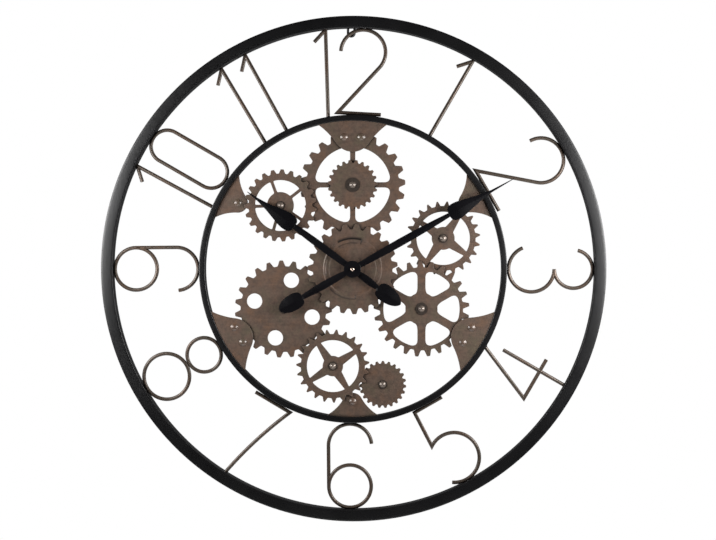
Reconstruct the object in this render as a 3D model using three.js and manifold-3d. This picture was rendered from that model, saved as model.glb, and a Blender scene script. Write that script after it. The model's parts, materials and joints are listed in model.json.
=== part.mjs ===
// Gear wall clock: two black rings joined by bent-rod numerals, a fixed cluster of gear plates
// held by six brackets, and a quartz movement whose motion works turn the hour and minute hands.
// Millimetres. Everything is drawn in the plane of the dial, with x to the right, y up and z out
// from the wall. The last group stands the clock up, +Z up and the dial towards -Y, with its
// origin where the hanging loop takes the nail.

import * as THREE from 'three';
import { mergeVertices } from 'three/addons/utils/BufferGeometryUtils.js';
import Module from 'manifold-3d';

const wasm = await Module();
wasm.setup();

// Fits
const seatGap = 0.3; // between pieces that are welded, pressed or screwed together
const runningGap = 0.3; // round the shafts that turn

// Facets
const ringSegments = 72; // a multiple of twelve, so that every numeral meets the same facets
const rodSides = 8;
const arcStep = 22.5; // degrees of bend for each facet of a rod
const turnedSides = 12;
const holeSides = 12;
const hubSides = 16;
const screwSides = 8;

// Rings
const outerRingDiameter = 700;
const outerRingFace = 16;
const innerRingFace = 8;
const ringDepth = 22;
const rimMargin = 7.4; // from the furthest gear tooth to the inner ring

// Numerals, bent from round rod and welded between the rings
const rodDiameter = 4.7;
const flagSpan = 15.7;
const flagDrop = 17.2;
const twelveLean = 3.3; // degrees that the 2 of twelve stands past the hour

// Hanging loop of wire, on the inside of the outer ring
const loopWire = 3.5;
const loopInnerWidth = 5.5;
const loopDrop = 12.6;
const loopLift = 4; // middle of the wire from the wall
const loopOffset = -2.5;

// Gear plates, in three layers that overlap and are brazed where they touch
const plateThickness = 2;
const plateBase = 16.5; // back of layer 0 from the wall
const centreLap = 19; // overlap of the centre gear and the three large ones
const upperLeftLap = 19;
const upperRightLap = 15.6;
const bottomLap = 13.8;
const smallLap = 10;
const upperLeftBearing = 195.9; // degrees anticlockwise from x, seen from the gear that carries it
const upperRightBearing = 72.9;
const bottomBearing = 311.1;
const smallBearing = 339.7;

// Brackets between the inner ring and the gears
const wideHalfWidth = 48;
const wideNose = 27.5;
const wideFlare = 103;
const wideLap = 27.3; // how far a wide bracket covers its gear
const wideLapLower = 15;
const narrowHalfWidth = 35.5;
const narrowNose = 14;
const narrowFlare = 60;
const narrowLap = 3.2;

// Dome-headed screws in the gears
const screwShank = 4;
const screwHead = 9.2;
const screwHeadHeight = 3.2;
const screwWasherThickness = 0.8;
const screwWasher = 11.5;
const topScrewWasher = 19;
const rightScrewWasher = 16;
const clenchDiameter = 6.6;
const clenchHeight = 1.2;

// Hands, stamped from sheet and folded along the middle
const handSheet = 0.7;
const foldSlope = 0.18;
const hubDiameter = 23.4;
const hubThickness = 1.6;
const handTipHalfWidth = 0.4;
const needleHalfWidth = 1.6;
const neckHalfWidth = 2.5; // where the shaft meets the tail leaf
const minuteHandAngle = 60.7; // degrees clockwise from twelve
const hourHandAngle = 306.3;
const handClearance = 0.8; // between the nut, the hour hand and the minute hand

// Movement
const bushingDiameter = 8;
const bushingWall = 0.9;
const bushingFlange = 12;
const bushingFlangeHeight = 1;
const threadPastNut = 0.8;
const fixingWasherDiameter = 16;
const fixingWasherThickness = 0.8;
const fixingNutFlats = 12;
const fixingNutHeight = 2.5;
const caseWall = 1.5;
const caseCorner = 3;
const caseBack = 2.3; // back of the cover from the wall
const coverThickness = 1.6;
const partitionWall = 1.2;
const batteryDiameter = 14.2;
const batteryLength = 50.5;
const batteryNubDiameter = 5.5;
const batteryNubLength = 1.3;
const contactThickness = 0.5;
const contactWidth = 9;

// Motion works: two pairs of wheels on one centre distance, 3:1 and 4:1
const worksDistance = 12;
const cannonTeeth = 8;
const reverserTeeth = 24;
const reverserPinionTeeth = 8;
const hourTeeth = 32;
const wheelThickness = 1.2;
const wheelStack = 2.7; // clear height between the two wheels
const arborDiameter = 3.6;
const arborPivot = 1.6;
const arborThread = 2.6;
const hourTubeWall = 0.7;
const reverserShaft = 2.2;
const pivotBoss = 4.4;
const pivotBossHeight = 2.5;
const wheelToCover = 4.6;
const knobDiameter = 12;
const knobThickness = 1.4;
const knobWeb = 0.4; // behind the socket for the shaft
const knobGrips = 12;
const knobGripDepth = 0.6;
const handNutDiameter = 5.4;
const handNutHeight = 3.2;
const handNutSide = 1.75; // height of its straight side
const handNutBevel = 0.55;
const handNutCrown = 2.2;
const handNutThread = 1.9; // length of arbor inside it

// Stepping motor
const boardThickness = 1;
const boardWidth = 13.5;
const boardHeight = 31;
const coilDiameter = 5.6;
const coilFlange = 7;
const coilLength = 20;
const coilFlangeThickness = 1.2;

const finishes = {
  blackSteel: { color: 0x17171a, roughness: 0.45, metalness: 0.5 },
  bronzeRod: { color: 0x7d6d5f, roughness: 0.4, metalness: 0.7 },
  bronzePlate: { color: 0x5f4f44, roughness: 0.5, metalness: 0.6 },
  screwSteel: { color: 0x8a7666, roughness: 0.3, metalness: 0.85 },
  handBlack: { color: 0x111113, roughness: 0.35, metalness: 0.3 },
  brass: { color: 0xc9a34e, roughness: 0.3, metalness: 0.95 },
  blackPlastic: { color: 0x1c1c1e, roughness: 0.6, metalness: 0 },
  zincSteel: { color: 0xb5b8ba, roughness: 0.35, metalness: 0.9 },
  cellWrap: { color: 0x3f6b57, roughness: 0.4, metalness: 0.1 },
  boardGreen: { color: 0x2f5a3c, roughness: 0.5, metalness: 0 },
  copperWire: { color: 0xa8612f, roughness: 0.35, metalness: 0.9 },
};

const radians = THREE.MathUtils.degToRad;
const hourStep = 30;
const dial = new THREE.Group();

function addPiece(name, geometry, finish, turn = 0) {
  const mesh = new THREE.Mesh(geometry, new THREE.MeshStandardMaterial(finishes[finish]));
  mesh.name = name;
  mesh.rotation.z = turn;
  dial.add(mesh);
  return mesh;
}

// Turns a clock angle, clockwise from twelve, into a turn about z of what points up
function clockTurn(degrees) {
  return -radians(degrees);
}

function hourTurn(hour) {
  return clockTurn(hour * hourStep);
}

// Joining and cutting of closed meshes

function closedMesh(geometry) {
  const points = geometry.clone();
  points.deleteAttribute('normal');
  points.deleteAttribute('uv');
  const merged = mergeVertices(points, 1e-4);
  const corners = merged.index.array;
  const faces = [];
  for (let i = 0; i < corners.length; i += 3) {
    const [a, b, c] = corners.slice(i, i + 3);
    if (a !== b && b !== c && c !== a) {
      faces.push(a, b, c);
    }
  }
  merged.setIndex(faces);
  return merged;
}

function solidOf(geometry) {
  const mesh = closedMesh(geometry);
  const vertProperties = new Float32Array(mesh.attributes.position.array);
  const triVerts = new Uint32Array(mesh.index.array);
  return new wasm.Manifold(new wasm.Mesh({ numProp: 3, vertProperties, triVerts }));
}

function geometryOf(solid) {
  const mesh = solid.getMesh();
  const geometry = new THREE.BufferGeometry();
  geometry.setAttribute('position', new THREE.BufferAttribute(mesh.vertProperties, 3));
  geometry.setIndex(new THREE.BufferAttribute(mesh.triVerts, 1));
  return geometry;
}

function join(...geometries) {
  return geometryOf(geometries.map(solidOf).reduce((whole, next) => whole.add(next)));
}

function cut(geometry, ...tools) {
  return geometryOf(tools.map(solidOf).reduce((rest, tool) => rest.subtract(tool), solidOf(geometry)));
}

function trim(geometry, limit) {
  return geometryOf(solidOf(geometry).intersect(solidOf(limit)));
}

// Plane outlines and plates

function polar(radius, angle) {
  return new THREE.Vector2(radius * Math.cos(angle), radius * Math.sin(angle));
}

function circlePoints(radius, segments, x = 0, y = 0) {
  const centre = new THREE.Vector2(x, y);
  const point = (_, i) => polar(radius, (i / segments) * 2 * Math.PI).add(centre);
  return Array.from({ length: segments }, point);
}

function annulus(outer, inner, segments) {
  const shape = new THREE.Shape(circlePoints(outer, segments));
  shape.holes.push(new THREE.Path(circlePoints(inner, segments)));
  return shape;
}

function rectangle(left, bottom, right, top, corner = 0) {
  const shape = new THREE.Shape();
  shape.moveTo(left + corner, bottom);
  for (const [x, y, alongX, alongY] of [[right, bottom, 0, 1], [right, top, -1, 0],
    [left, top, 0, -1], [left, bottom, 1, 0]]) {
    shape.lineTo(x - alongY * corner, y + alongX * corner);
    if (corner > 0) {
      shape.quadraticCurveTo(x, y, x + alongX * corner, y + alongY * corner);
    }
  }
  return shape;
}

function plate(shape, back, thickness, curveSegments = 3) {
  const options = { depth: thickness, bevelEnabled: false, curveSegments };
  return new THREE.ExtrudeGeometry(shape, options).translate(0, 0, back);
}

function disc(diameter, back, thickness, segments, x = 0, y = 0) {
  return plate(new THREE.Shape(circlePoints(diameter / 2, segments, x, y)), back, thickness);
}

// A turned piece: radius and height pairs, from the back, revolved about z
function turned(profile, segments) {
  const points = profile.map(([radius, height]) => new THREE.Vector2(radius, height));
  return closedMesh(new THREE.LatheGeometry(points, segments).rotateX(Math.PI / 2));
}

// Sweeps and lofts: each section is a ring of points, joined to the next

function loft(sections, closed) {
  const sides = sections[0].length;
  const positions = sections.flat().flatMap((point) => point.toArray());
  const faces = [];
  const links = closed ? sections.length : sections.length - 1;
  for (let i = 0; i < links; i += 1) {
    const here = i * sides;
    const next = ((i + 1) % sections.length) * sides;
    for (let j = 0; j < sides; j += 1) {
      const k = (j + 1) % sides;
      faces.push(here + j, here + k, next + k, here + j, next + k, next + j);
    }
  }
  if (!closed) {
    const last = (sections.length - 1) * sides;
    for (let j = 0; j < sides / 2 - 1; j += 1) {
      const k = sides - 1 - j;
      const cap = [j, j + 1, k - 1, j, k - 1, k];
      faces.push(...cap.map((corner) => last + corner), ...cap.reverse());
    }
  }
  const geometry = new THREE.BufferGeometry();
  geometry.setAttribute('position', new THREE.Float32BufferAttribute(positions, 3));
  geometry.setIndex(faces);
  return geometry;
}

// Points along an arc, angles in degrees, anticlockwise where the end is the larger
function arcPoints(x, y, radius, start, end) {
  const steps = Math.ceil(Math.abs(end - start) / arcStep);
  const centre = new THREE.Vector2(x, y);
  const point = (_, i) => polar(radius, radians(start + ((end - start) * i) / steps)).add(centre);
  return Array.from({ length: steps + 1 }, point);
}

function at(x, y) {
  return new THREE.Vector2(x, y);
}

// A round rod along a plane path, mitred where the path turns
function rod(path, lift, diameter, closed = false) {
  const leftOf = (from, to) => {
    const along = to.clone().sub(from).normalize();
    return at(-along.y, along.x);
  };
  const count = path.length;
  const sections = path.map((point, i) => {
    const before = closed || i > 0 ? leftOf(path[(i + count - 1) % count], point) : null;
    const after = closed || i < count - 1 ? leftOf(point, path[(i + 1) % count]) : null;
    const first = before ?? after;
    const second = after ?? before;
    const mitre = first.clone().add(second).divideScalar(1 + first.dot(second));
    return circlePoints(diameter / 2, rodSides).map((corner) => {
      const side = mitre.clone().multiplyScalar(corner.x).add(point);
      return new THREE.Vector3(side.x, side.y, lift + corner.y);
    });
  });
  return loft(sections, closed);
}

// Gear plates

function gearShape({ teeth, tip, root, rootShare, tipShare, phase }) {
  const pitch = (2 * Math.PI) / teeth;
  const points = [];
  for (let i = 0; i < teeth; i += 1) {
    const middle = radians(phase) + i * pitch;
    points.push(polar(root, middle - (rootShare * pitch) / 2));
    points.push(polar(tip, middle - (tipShare * pitch) / 2));
    points.push(polar(tip, middle + (tipShare * pitch) / 2));
    points.push(polar(root, middle + (rootShare * pitch) / 2));
  }
  return new THREE.Shape(points);
}

// An opening between two spokes: spoke edges, rim and hub, its corners rounded where asked
function spokeWindow({ outer, hub, hubSpoke, rimSpoke, round = 0 }, from, to) {
  const hubTurn = Math.asin(hubSpoke / 2 / hub);
  const rimTurn = Math.asin(rimSpoke / 2 / outer);
  const rimRound = round / outer;
  const hubRound = Math.min(round / hub, (to - from - 2 * hubTurn) / 3);
  const hubStart = polar(hub, from + hubTurn);
  const rimStart = polar(outer, from + rimTurn);
  const rimEnd = polar(outer, to - rimTurn);
  const hubEnd = polar(hub, to - hubTurn);
  const path = new THREE.Path();
  const bendTo = (corner, next) => {
    if (round > 0) {
      path.quadraticCurveTo(corner.x, corner.y, next.x, next.y);
    }
  };
  const short = (a, b) => a.clone().add(b.clone().sub(a).setLength(round));
  const first = short(hubStart, rimStart);
  const second = short(rimStart, hubStart);
  const third = short(rimEnd, hubEnd);
  const fourth = short(hubEnd, rimEnd);
  path.moveTo(first.x, first.y);
  path.lineTo(second.x, second.y);
  bendTo(rimStart, polar(outer, from + rimTurn + rimRound));
  path.absarc(0, 0, outer, from + rimTurn + rimRound, to - rimTurn - rimRound, false);
  bendTo(rimEnd, third);
  path.lineTo(fourth.x, fourth.y);
  bendTo(hubEnd, polar(hub, to - hubTurn - hubRound));
  path.absarc(0, 0, hub, to - hubTurn - hubRound, from + hubTurn + hubRound, true);
  bendTo(hubStart, first);
  return path;
}

function addWindows(shape, { count, start, ...sizes }) {
  const pitch = (2 * Math.PI) / count;
  for (let i = 0; i < count; i += 1) {
    const from = radians(start) + i * pitch;
    shape.holes.push(spokeWindow(sizes, from, from + pitch));
  }
}

function layerBack(layer) {
  return plateBase + layer * (plateThickness + seatGap);
}

function layerFront(layer) {
  return layerBack(layer) + plateThickness;
}

const bluntTooth = { rootShare: 0.74, tipShare: 0.31 };
const middleTooth = { rootShare: 0.67, tipShare: 0.26 };
const pointedTooth = { rootShare: 0.6, tipShare: 0.14 };
const taperedSpokes = { count: 4, hub: 14.2, hubSpoke: 12, rimSpoke: 7 };

const centreGear = { teeth: 23, tip: 62.6, root: 55.2, ...bluntTooth, phase: 6.2, layer: 1 };
const topGear = { teeth: 23, tip: 73, root: 64.5, ...bluntTooth, phase: 2.8, layer: 0,
  windows: { count: 4, start: 0, outer: 52.7, hub: 26, hubSpoke: 7.3, rimSpoke: 7.3, round: 5 } };
const topPinion = { teeth: 23, tip: 34.5, root: 30.6, ...bluntTooth, phase: 2.8, layer: 1 };
const upperLeftGear = { teeth: 23, tip: 50.1, root: 44.3, ...bluntTooth, phase: 8.9, layer: 1,
  windows: { count: 5, start: 38, outer: 35.2, hub: 18.7, hubSpoke: 4.3, rimSpoke: 4.3 } };
const upperRightGear = { teeth: 23, tip: 51.3, root: 44.9, ...pointedTooth, phase: 5.5, layer: -1,
  windows: { ...taperedSpokes, start: 55, outer: 36.8 } };
const rightGear = { teeth: 25, tip: 66.4, root: 57.6, ...middleTooth, phase: 5.1, layer: 0,
  windows: { count: 6, start: 30, outer: 52.7, hub: 19, hubSpoke: 10.6, rimSpoke: 10.6, round: 6 } };
const leftGear = { teeth: 23, tip: 67.6, root: 59.6, ...middleTooth, phase: 14.3, layer: 0,
  holes: { count: 4, start: 74.5, radius: 10.6, orbit: 41.5 } };
const bottomGear = { teeth: 23, tip: 50.9, root: 44.6, ...pointedTooth, phase: 5.8, layer: 1,
  windows: { ...taperedSpokes, start: 33, outer: 36 } };
const smallGear = { teeth: 23, tip: 32.7, root: 29.1, ...bluntTooth, phase: 11.1, layer: 0 };

// Each gear stands beside the one that carries it, at an angle anticlockwise from x
function beside(carrier, gear, degrees, lap) {
  const distance = carrier.tip + gear.tip - lap;
  return polar(distance, radians(degrees)).add(carrier.place);
}

centreGear.place = at(0, 0);
topGear.place = beside(centreGear, topGear, 90, centreLap);
leftGear.place = beside(centreGear, leftGear, 210, centreLap);
rightGear.place = beside(centreGear, rightGear, 330, centreLap);
topPinion.place = topGear.place;
upperLeftGear.place = beside(topGear, upperLeftGear, upperLeftBearing, upperLeftLap);
upperRightGear.place = beside(rightGear, upperRightGear, upperRightBearing, upperRightLap);
bottomGear.place = beside(leftGear, bottomGear, bottomBearing, bottomLap);
smallGear.place = beside(bottomGear, smallGear, smallBearing, smallLap);

const outerGears = [topGear, upperLeftGear, upperRightGear, rightGear, leftGear, bottomGear, smallGear];

const screwBore = screwShank + 2 * seatGap;

function addGear(name, gear, bore = screwBore, boreSides = screwSides) {
  const shape = gearShape(gear);
  shape.holes.push(new THREE.Path(circlePoints(bore / 2, boreSides)));
  if (gear.windows) {
    addWindows(shape, gear.windows);
  }
  if (gear.holes) {
    const { count, start, radius, orbit } = gear.holes;
    for (let i = 0; i < count; i += 1) {
      const middle = polar(orbit, radians(start) + (i / count) * 2 * Math.PI);
      shape.holes.push(new THREE.Path(circlePoints(radius, holeSides, middle.x, middle.y)));
    }
  }
  const wheel = plate(shape, layerBack(gear.layer), plateThickness, 2);
  const mesh = addPiece(name, wheel, 'bronzePlate');
  mesh.position.set(gear.place.x, gear.place.y, 0);
}

addGear('centre_gear', centreGear, bushingDiameter + 2 * seatGap, holeSides);
addGear('top_gear', topGear);
addGear('top_pinion', topPinion);
addGear('upper_left_gear', upperLeftGear);
addGear('upper_right_gear', upperRightGear);
addGear('right_gear', rightGear);
addGear('left_gear', leftGear);
addGear('bottom_gear', bottomGear);
addGear('small_gear', smallGear);

// Screws: a dome head on its washer, a shank through the plates and a clenched tail

const domeAngles = [15, 55];

function addScrew(name, gear, frontLayer = gear.layer, washerDiameter = screwWasher) {
  const back = layerBack(gear.layer) - seatGap;
  const seat = layerFront(frontLayer) + seatGap;
  const face = seat + screwWasherThickness;
  const dome = domeAngles.map((angle) => [(screwHead / 2) * Math.cos(radians(angle)),
    face + screwHeadHeight * Math.sin(radians(angle))]);
  const profile = [[0, back - clenchHeight], [clenchDiameter / 2, back - clenchHeight],
    [clenchDiameter / 2, back], [screwShank / 2, back], [screwShank / 2, seat],
    [washerDiameter / 2, seat], [washerDiameter / 2, face], [screwHead / 2, face],
    ...dome, [0, face + screwHeadHeight]];
  const mesh = addPiece(name, turned(profile, screwSides), 'screwSteel');
  mesh.position.set(gear.place.x, gear.place.y, 0);
}

addScrew('top_gear_screw', topGear, topPinion.layer, topScrewWasher);
addScrew('upper_left_gear_screw', upperLeftGear);
addScrew('upper_right_gear_screw', upperRightGear);
addScrew('right_gear_screw', rightGear, rightGear.layer, rightScrewWasher);
addScrew('left_gear_screw', leftGear);
addScrew('bottom_gear_screw', bottomGear);
addScrew('small_gear_screw', smallGear);

// Rings: the inner one clears the furthest gear, the outer one carries the numerals

const gearReach = Math.max(...outerGears.map(({ place, tip }) => place.length() + tip));
const innerRingInside = gearReach + rimMargin;
const bandFoot = innerRingInside + innerRingFace;
const bandTop = outerRingDiameter / 2 - outerRingFace;
const ring = (outer, inner) => plate(annulus(outer, inner, ringSegments), 0, ringDepth);
addPiece('outer_ring', ring(outerRingDiameter / 2, bandTop), 'blackSteel');
addPiece('inner_ring', ring(bandFoot, innerRingInside), 'blackSteel');

// Brackets: a flared foot along the inner ring and a round nose over or under a gear

// How far from the middle a gear reaches along a ray at an angle anticlockwise from x
function reachAlong(gear, degrees) {
  const ray = polar(1, radians(degrees));
  const along = gear.place.dot(ray);
  const aside = gear.place.cross(ray);
  return along + Math.sqrt(gear.tip ** 2 - aside ** 2);
}

function bracketShape(tip, halfWidth, nose, flare) {
  const footRadius = innerRingInside - seatGap;
  const footTurn = Math.asin(halfWidth / footRadius);
  const foot = polar(footRadius, Math.PI / 2 - footTurn);
  const noseMiddle = at(0, tip + nose);
  // The flare's centre lies at its radius from the foot, and clear of the nose by both radii
  const span = foot.clone().sub(noseMiddle);
  const toFlare = nose + flare;
  const offset = (toFlare ** 2 - flare ** 2 + span.lengthSq()) / (2 * span.length());
  const lean = Math.acos(offset / toFlare);
  const flareTurn = span.angle() - lean;
  const flareMiddle = polar(toFlare, flareTurn).add(noseMiddle);
  const footAngle = foot.clone().sub(flareMiddle).angle();
  const shape = new THREE.Shape();
  shape.absarc(0, 0, footRadius, Math.PI / 2 - footTurn, Math.PI / 2 + footTurn, false);
  shape.absarc(-flareMiddle.x, flareMiddle.y, flare, Math.PI - footAngle, -flareTurn, true);
  shape.absarc(noseMiddle.x, noseMiddle.y, nose, Math.PI - flareTurn, flareTurn, false);
  shape.absarc(flareMiddle.x, flareMiddle.y, flare, flareTurn + Math.PI, footAngle, true);
  return shape;
}

function addBracket(hour, gear, layer, lap, { halfWidth, nose, flare }) {
  const tip = reachAlong(gear, 90 - hour * hourStep) - lap;
  const shape = bracketShape(tip, halfWidth, nose, flare);
  const bracket = plate(shape, layerBack(layer), plateThickness);
  addPiece(`bracket_${hour}`, bracket, 'bronzePlate', hourTurn(hour));
}

const wideBracket = { halfWidth: wideHalfWidth, nose: wideNose, flare: wideFlare };
const narrowBracket = { halfWidth: narrowHalfWidth, nose: narrowNose, flare: narrowFlare };
addBracket(12, topGear, topGear.layer + 1, wideLap, wideBracket);
addBracket(4, rightGear, rightGear.layer + 1, wideLapLower, wideBracket);
addBracket(8, leftGear, leftGear.layer + 1, wideLapLower, wideBracket);
addBracket(2, upperRightGear, upperRightGear.layer + 1, narrowLap, narrowBracket);
addBracket(6, bottomGear, bottomGear.layer - 1, narrowLap, narrowBracket);
addBracket(10, upperLeftGear, upperLeftGear.layer - 1, narrowLap, narrowBracket);

// Numerals, each drawn about its own hour line: x clockwise along the dial, y out from the middle

const rodRadius = rodDiameter / 2;
const footLine = bandFoot + seatGap + rodRadius;
const topLine = bandTop - seatGap - rodRadius;
const belowFoot = bandFoot - rodDiameter;
const aboveTop = bandTop + rodDiameter;
const rodLift = ringDepth / 2;
const band = ring(bandTop - seatGap, bandFoot + seatGap);

function addNumeral(name, hour, strokes) {
  const rods = strokes.map(({ path, closed }) => rod(path, rodLift, rodDiameter, closed));
  addPiece(name, trim(join(...rods), band), 'bronzeRod', hourTurn(hour));
}

function oneStroke({ foot, top }) {
  return { path: [at(foot, belowFoot), at(top, topLine), at(top - flagSpan, topLine - flagDrop)] };
}

// Where a line from a point touches a circle, as the angle of that radius in degrees
function tangentAngle(point, middle, radius) {
  const away = point.clone().sub(middle);
  return THREE.MathUtils.radToDeg(away.angle() + Math.acos(radius / away.length()));
}

const twoBowl = 31;

function twoStroke({ bowl, corner, end }) {
  const middle = at(bowl, topLine - twoBowl);
  const leave = tangentAngle(at(corner, footLine), middle, twoBowl) - 360;
  const over = arcPoints(middle.x, middle.y, twoBowl, 180, leave);
  return { path: [...over, at(corner, footLine), at(end, footLine)] };
}

const three = { footBowl: 31.6, footEnd: -158, topStart: 167 };

function threeStrokes() {
  const cusp = footLine + 2 * three.footBowl;
  const topBowl = (topLine - cusp) / 2;
  return [{ path: arcPoints(0, footLine + three.footBowl, three.footBowl, 90, three.footEnd) },
    { path: arcPoints(0, topLine - topBowl, topBowl, three.topStart, -90) }];
}

const four = { barBelowTop: 36.8, barLeft: -25.7, barRight: 36.7, stemAside: -7.2, stemAboveFoot: 20.8 };

function fourStrokes() {
  const barLine = topLine - four.barBelowTop;
  const bar = [at(0, belowFoot), at(four.barRight, barLine), at(four.barLeft, barLine)];
  const stem = [at(four.stemAside, footLine + four.stemAboveFoot), at(four.stemAside, aboveTop)];
  return [{ path: bar }, { path: stem }];
}

const five = { barEnd: -18.2, corner: 25.6, bowl: 34.7, bowlAside: 8.8, bowlStart: -56.4, bowlEnd: -305 };

function fiveStroke() {
  const middle = at(five.bowlAside, topLine - five.bowl);
  const bowl = arcPoints(middle.x, middle.y, five.bowl, five.bowlStart, five.bowlEnd);
  return { path: [at(five.barEnd, footLine), at(five.corner, footLine), ...bowl] };
}

const six = { hook: 30, hookStart: 185, bowl: 29.5 };

function sixStrokes(aside) {
  const bowlLine = topLine - six.bowl;
  const hook = arcPoints(aside, footLine + six.hook, six.hook, six.hookStart, 360);
  return [{ path: [...hook, at(aside + six.bowl, bowlLine)] },
    { path: arcPoints(aside, bowlLine, six.bowl, 0, 360).slice(1), closed: true }];
}

const seven = { barEnd: 31.8, corner: -24, tilt: 1.2, end: 13.3, bow: 3.6 };

// The bar rests on the inner ring a little askew, and the leg bows
function sevenStroke() {
  const corner = at(seven.corner, footLine + seven.tilt);
  const end = at(seven.end, aboveTop);
  const along = end.clone().sub(corner);
  const aside = at(along.y, -along.x).setLength(2 * seven.bow);
  const middle = corner.clone().add(end).divideScalar(2).add(aside);
  const leg = new THREE.QuadraticBezierCurve(corner, middle, end).getPoints(4);
  return { path: [at(seven.barEnd, footLine - seven.tilt), ...leg] };
}

const eight = { footRing: 23.85, weld: 0.6 };

function eightStrokes() {
  const topRing = (topLine - footLine - rodDiameter + eight.weld) / 2 - eight.footRing;
  return [{ path: arcPoints(0, footLine + eight.footRing, eight.footRing, 0, 360).slice(1), closed: true },
    { path: arcPoints(0, topLine - topRing, topRing, 0, 360).slice(1), closed: true }];
}

const zero = { aside: 18.3, radius: 22.65 };

function zeroStroke() {
  const lower = arcPoints(zero.aside, footLine + zero.radius, zero.radius, -180, 0);
  const upper = arcPoints(zero.aside, topLine - zero.radius, zero.radius, 0, 180);
  return { path: [...lower, ...upper], closed: true };
}

addNumeral('numeral_1', 1, [oneStroke({ foot: 0, top: 0 })]);
addNumeral('numeral_2', 2, [twoStroke({ bowl: 0, corner: -32.8, end: 31.5 })]);
addNumeral('numeral_3', 3, threeStrokes());
addNumeral('numeral_4', 4, fourStrokes());
addNumeral('numeral_5', 5, [fiveStroke()]);
addNumeral('numeral_6', 6, sixStrokes(4));
addNumeral('numeral_7', 7, [sevenStroke()]);
addNumeral('numeral_8', 8, eightStrokes());
addNumeral('numeral_9', 9, sixStrokes(0));
addNumeral('numeral_10_one', 10, [oneStroke({ foot: -22.8, top: -26.2 })]);
addNumeral('numeral_10_zero', 10, [zeroStroke()]);
addNumeral('numeral_11_first', 11, [oneStroke({ foot: -17.6, top: -19.4 })]);
addNumeral('numeral_11_second', 11, [oneStroke({ foot: 16.4, top: 18.8 })]);
addNumeral('numeral_12_one', 12, [oneStroke({ foot: -34.2, top: -38 })]);
addNumeral('numeral_12_two', 12 + twelveLean / hourStep, [twoStroke({ bowl: -3, corner: -33.5, end: 26.5 })]);

// Hanging loop

const loopHalf = (loopInnerWidth + loopWire) / 2;
const loopBottom = bandTop - loopDrop + loopWire / 2 + loopHalf;
const loopPath = [at(loopOffset - loopHalf, aboveTop),
  ...arcPoints(loopOffset, loopBottom, loopHalf, 180, 360), at(loopOffset + loopHalf, aboveTop)];
addPiece('hanging_loop', trim(rod(loopPath, loopLift, loopWire), band), 'blackSteel');

// Levels of the movement along the arbor, from the wall

const caseFront = layerBack(centreGear.layer) - seatGap;
const roomFront = caseFront - caseWall;
const roomBack = caseBack + coverThickness;
const washerBack = layerFront(centreGear.layer) + seatGap;
const nutBack = washerBack + fixingWasherThickness + seatGap;
const nutFront = nutBack + fixingNutHeight;
const bushingFront = nutFront + threadPastNut;
const hourHandBack = bushingFront + handClearance;
const handRise = (halfWidth) => halfWidth * foldSlope + handSheet;
const reverserBack = roomBack + wheelToCover;
const hourWheelBack = reverserBack + wheelThickness + wheelStack;

// Hands: tail leaf, shaft, spade and needle as half widths along the hand, then folded

const minuteHand = { tail: 116, tailBase: 79, tailWide: 93, tailHalf: 11.5, shaft: 3.6,
  spadeBase: 153, spadeWide: 164, spadeHalf: 11.8, needle: 221, tip: 255 };
const hourHand = { tail: 82.5, tailBase: 43.5, tailWide: 56, tailHalf: 12, shaft: 4,
  spadeBase: 99.6, spadeWide: 112, spadeHalf: 12.1, needle: 166.5, tip: 180.5 };
const handBend = { tailTip: 3, tailSwell: 8, tailShoulder: 12, spadeShoulder: 12, taper: 28,
  taperSwell: 4.1 };

function handOutline({ tail, tailBase, tailWide, tailHalf, shaft, spadeBase, spadeWide, spadeHalf,
  needle, tip }) {
  const { tailTip, tailSwell, tailShoulder, spadeShoulder, taper, taperSwell } = handBend;
  const path = new THREE.Path();
  path.moveTo(-tail, handTipHalfWidth);
  path.bezierCurveTo(tailTip - tail, tailSwell, -tailWide - tailShoulder, tailHalf, -tailWide, tailHalf);
  path.quadraticCurveTo(-tailBase, tailHalf, -tailBase, neckHalfWidth);
  path.lineTo(-hubDiameter / 2, shaft);
  path.lineTo(spadeBase, shaft);
  path.quadraticCurveTo(spadeBase, spadeHalf, spadeWide, spadeHalf);
  path.bezierCurveTo(spadeWide + spadeShoulder, spadeHalf, needle - taper, taperSwell,
    needle, needleHalfWidth);
  path.lineTo(tip, handTipHalfWidth);
  return path.getPoints(4);
}

// The folded sheet: under side, then upper side, with the ridge in the middle
function foldedBlade(outline, back) {
  return loft(outline.map(({ x, y: half }) => {
    const ridge = back + half * foldSlope;
    const section = [[-half, back], [0, ridge], [half, back], [half, back + handSheet],
      [0, ridge + handSheet], [-half, back + handSheet]];
    return section.map(([y, z]) => new THREE.Vector3(x, y, z));
  }), false);
}

function addHand(name, hand, back, bore, degrees) {
  const hub = disc(hubDiameter, back, hubThickness, hubSides);
  const hole = disc(bore, back - seatGap, hubThickness + 2 * seatGap, turnedSides);
  const blade = join(foldedBlade(handOutline(hand), back), hub);
  addPiece(name, cut(blade, hole), 'handBlack', Math.PI / 2 + clockTurn(degrees));
}

const hourBoreDiameter = arborDiameter + 2 * runningGap;
const hourTubeOuter = hourBoreDiameter + 2 * hourTubeWall;
const minuteHandBack = hourHandBack + handRise(hourHand.spadeHalf) + handClearance;
addHand('hour_hand', hourHand, hourHandBack, hourTubeOuter + 2 * seatGap, hourHandAngle);
addHand('minute_hand', minuteHand, minuteHandBack, arborDiameter + 2 * seatGap, minuteHandAngle);

// Motion works: a wheel and a pinion meet at the line between their arbors

const cannonModule = (2 * worksDistance) / (cannonTeeth + reverserTeeth);
const hourModule = (2 * worksDistance) / (reverserPinionTeeth + hourTeeth);
const wheelTooth = { rootShare: 0.6, tipShare: 0.2 };
const pinionTooth = { rootShare: 0.44, tipShare: 0.24 };
const addendum = 0.85; // of the module
const dedendum = 1.2;

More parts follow.
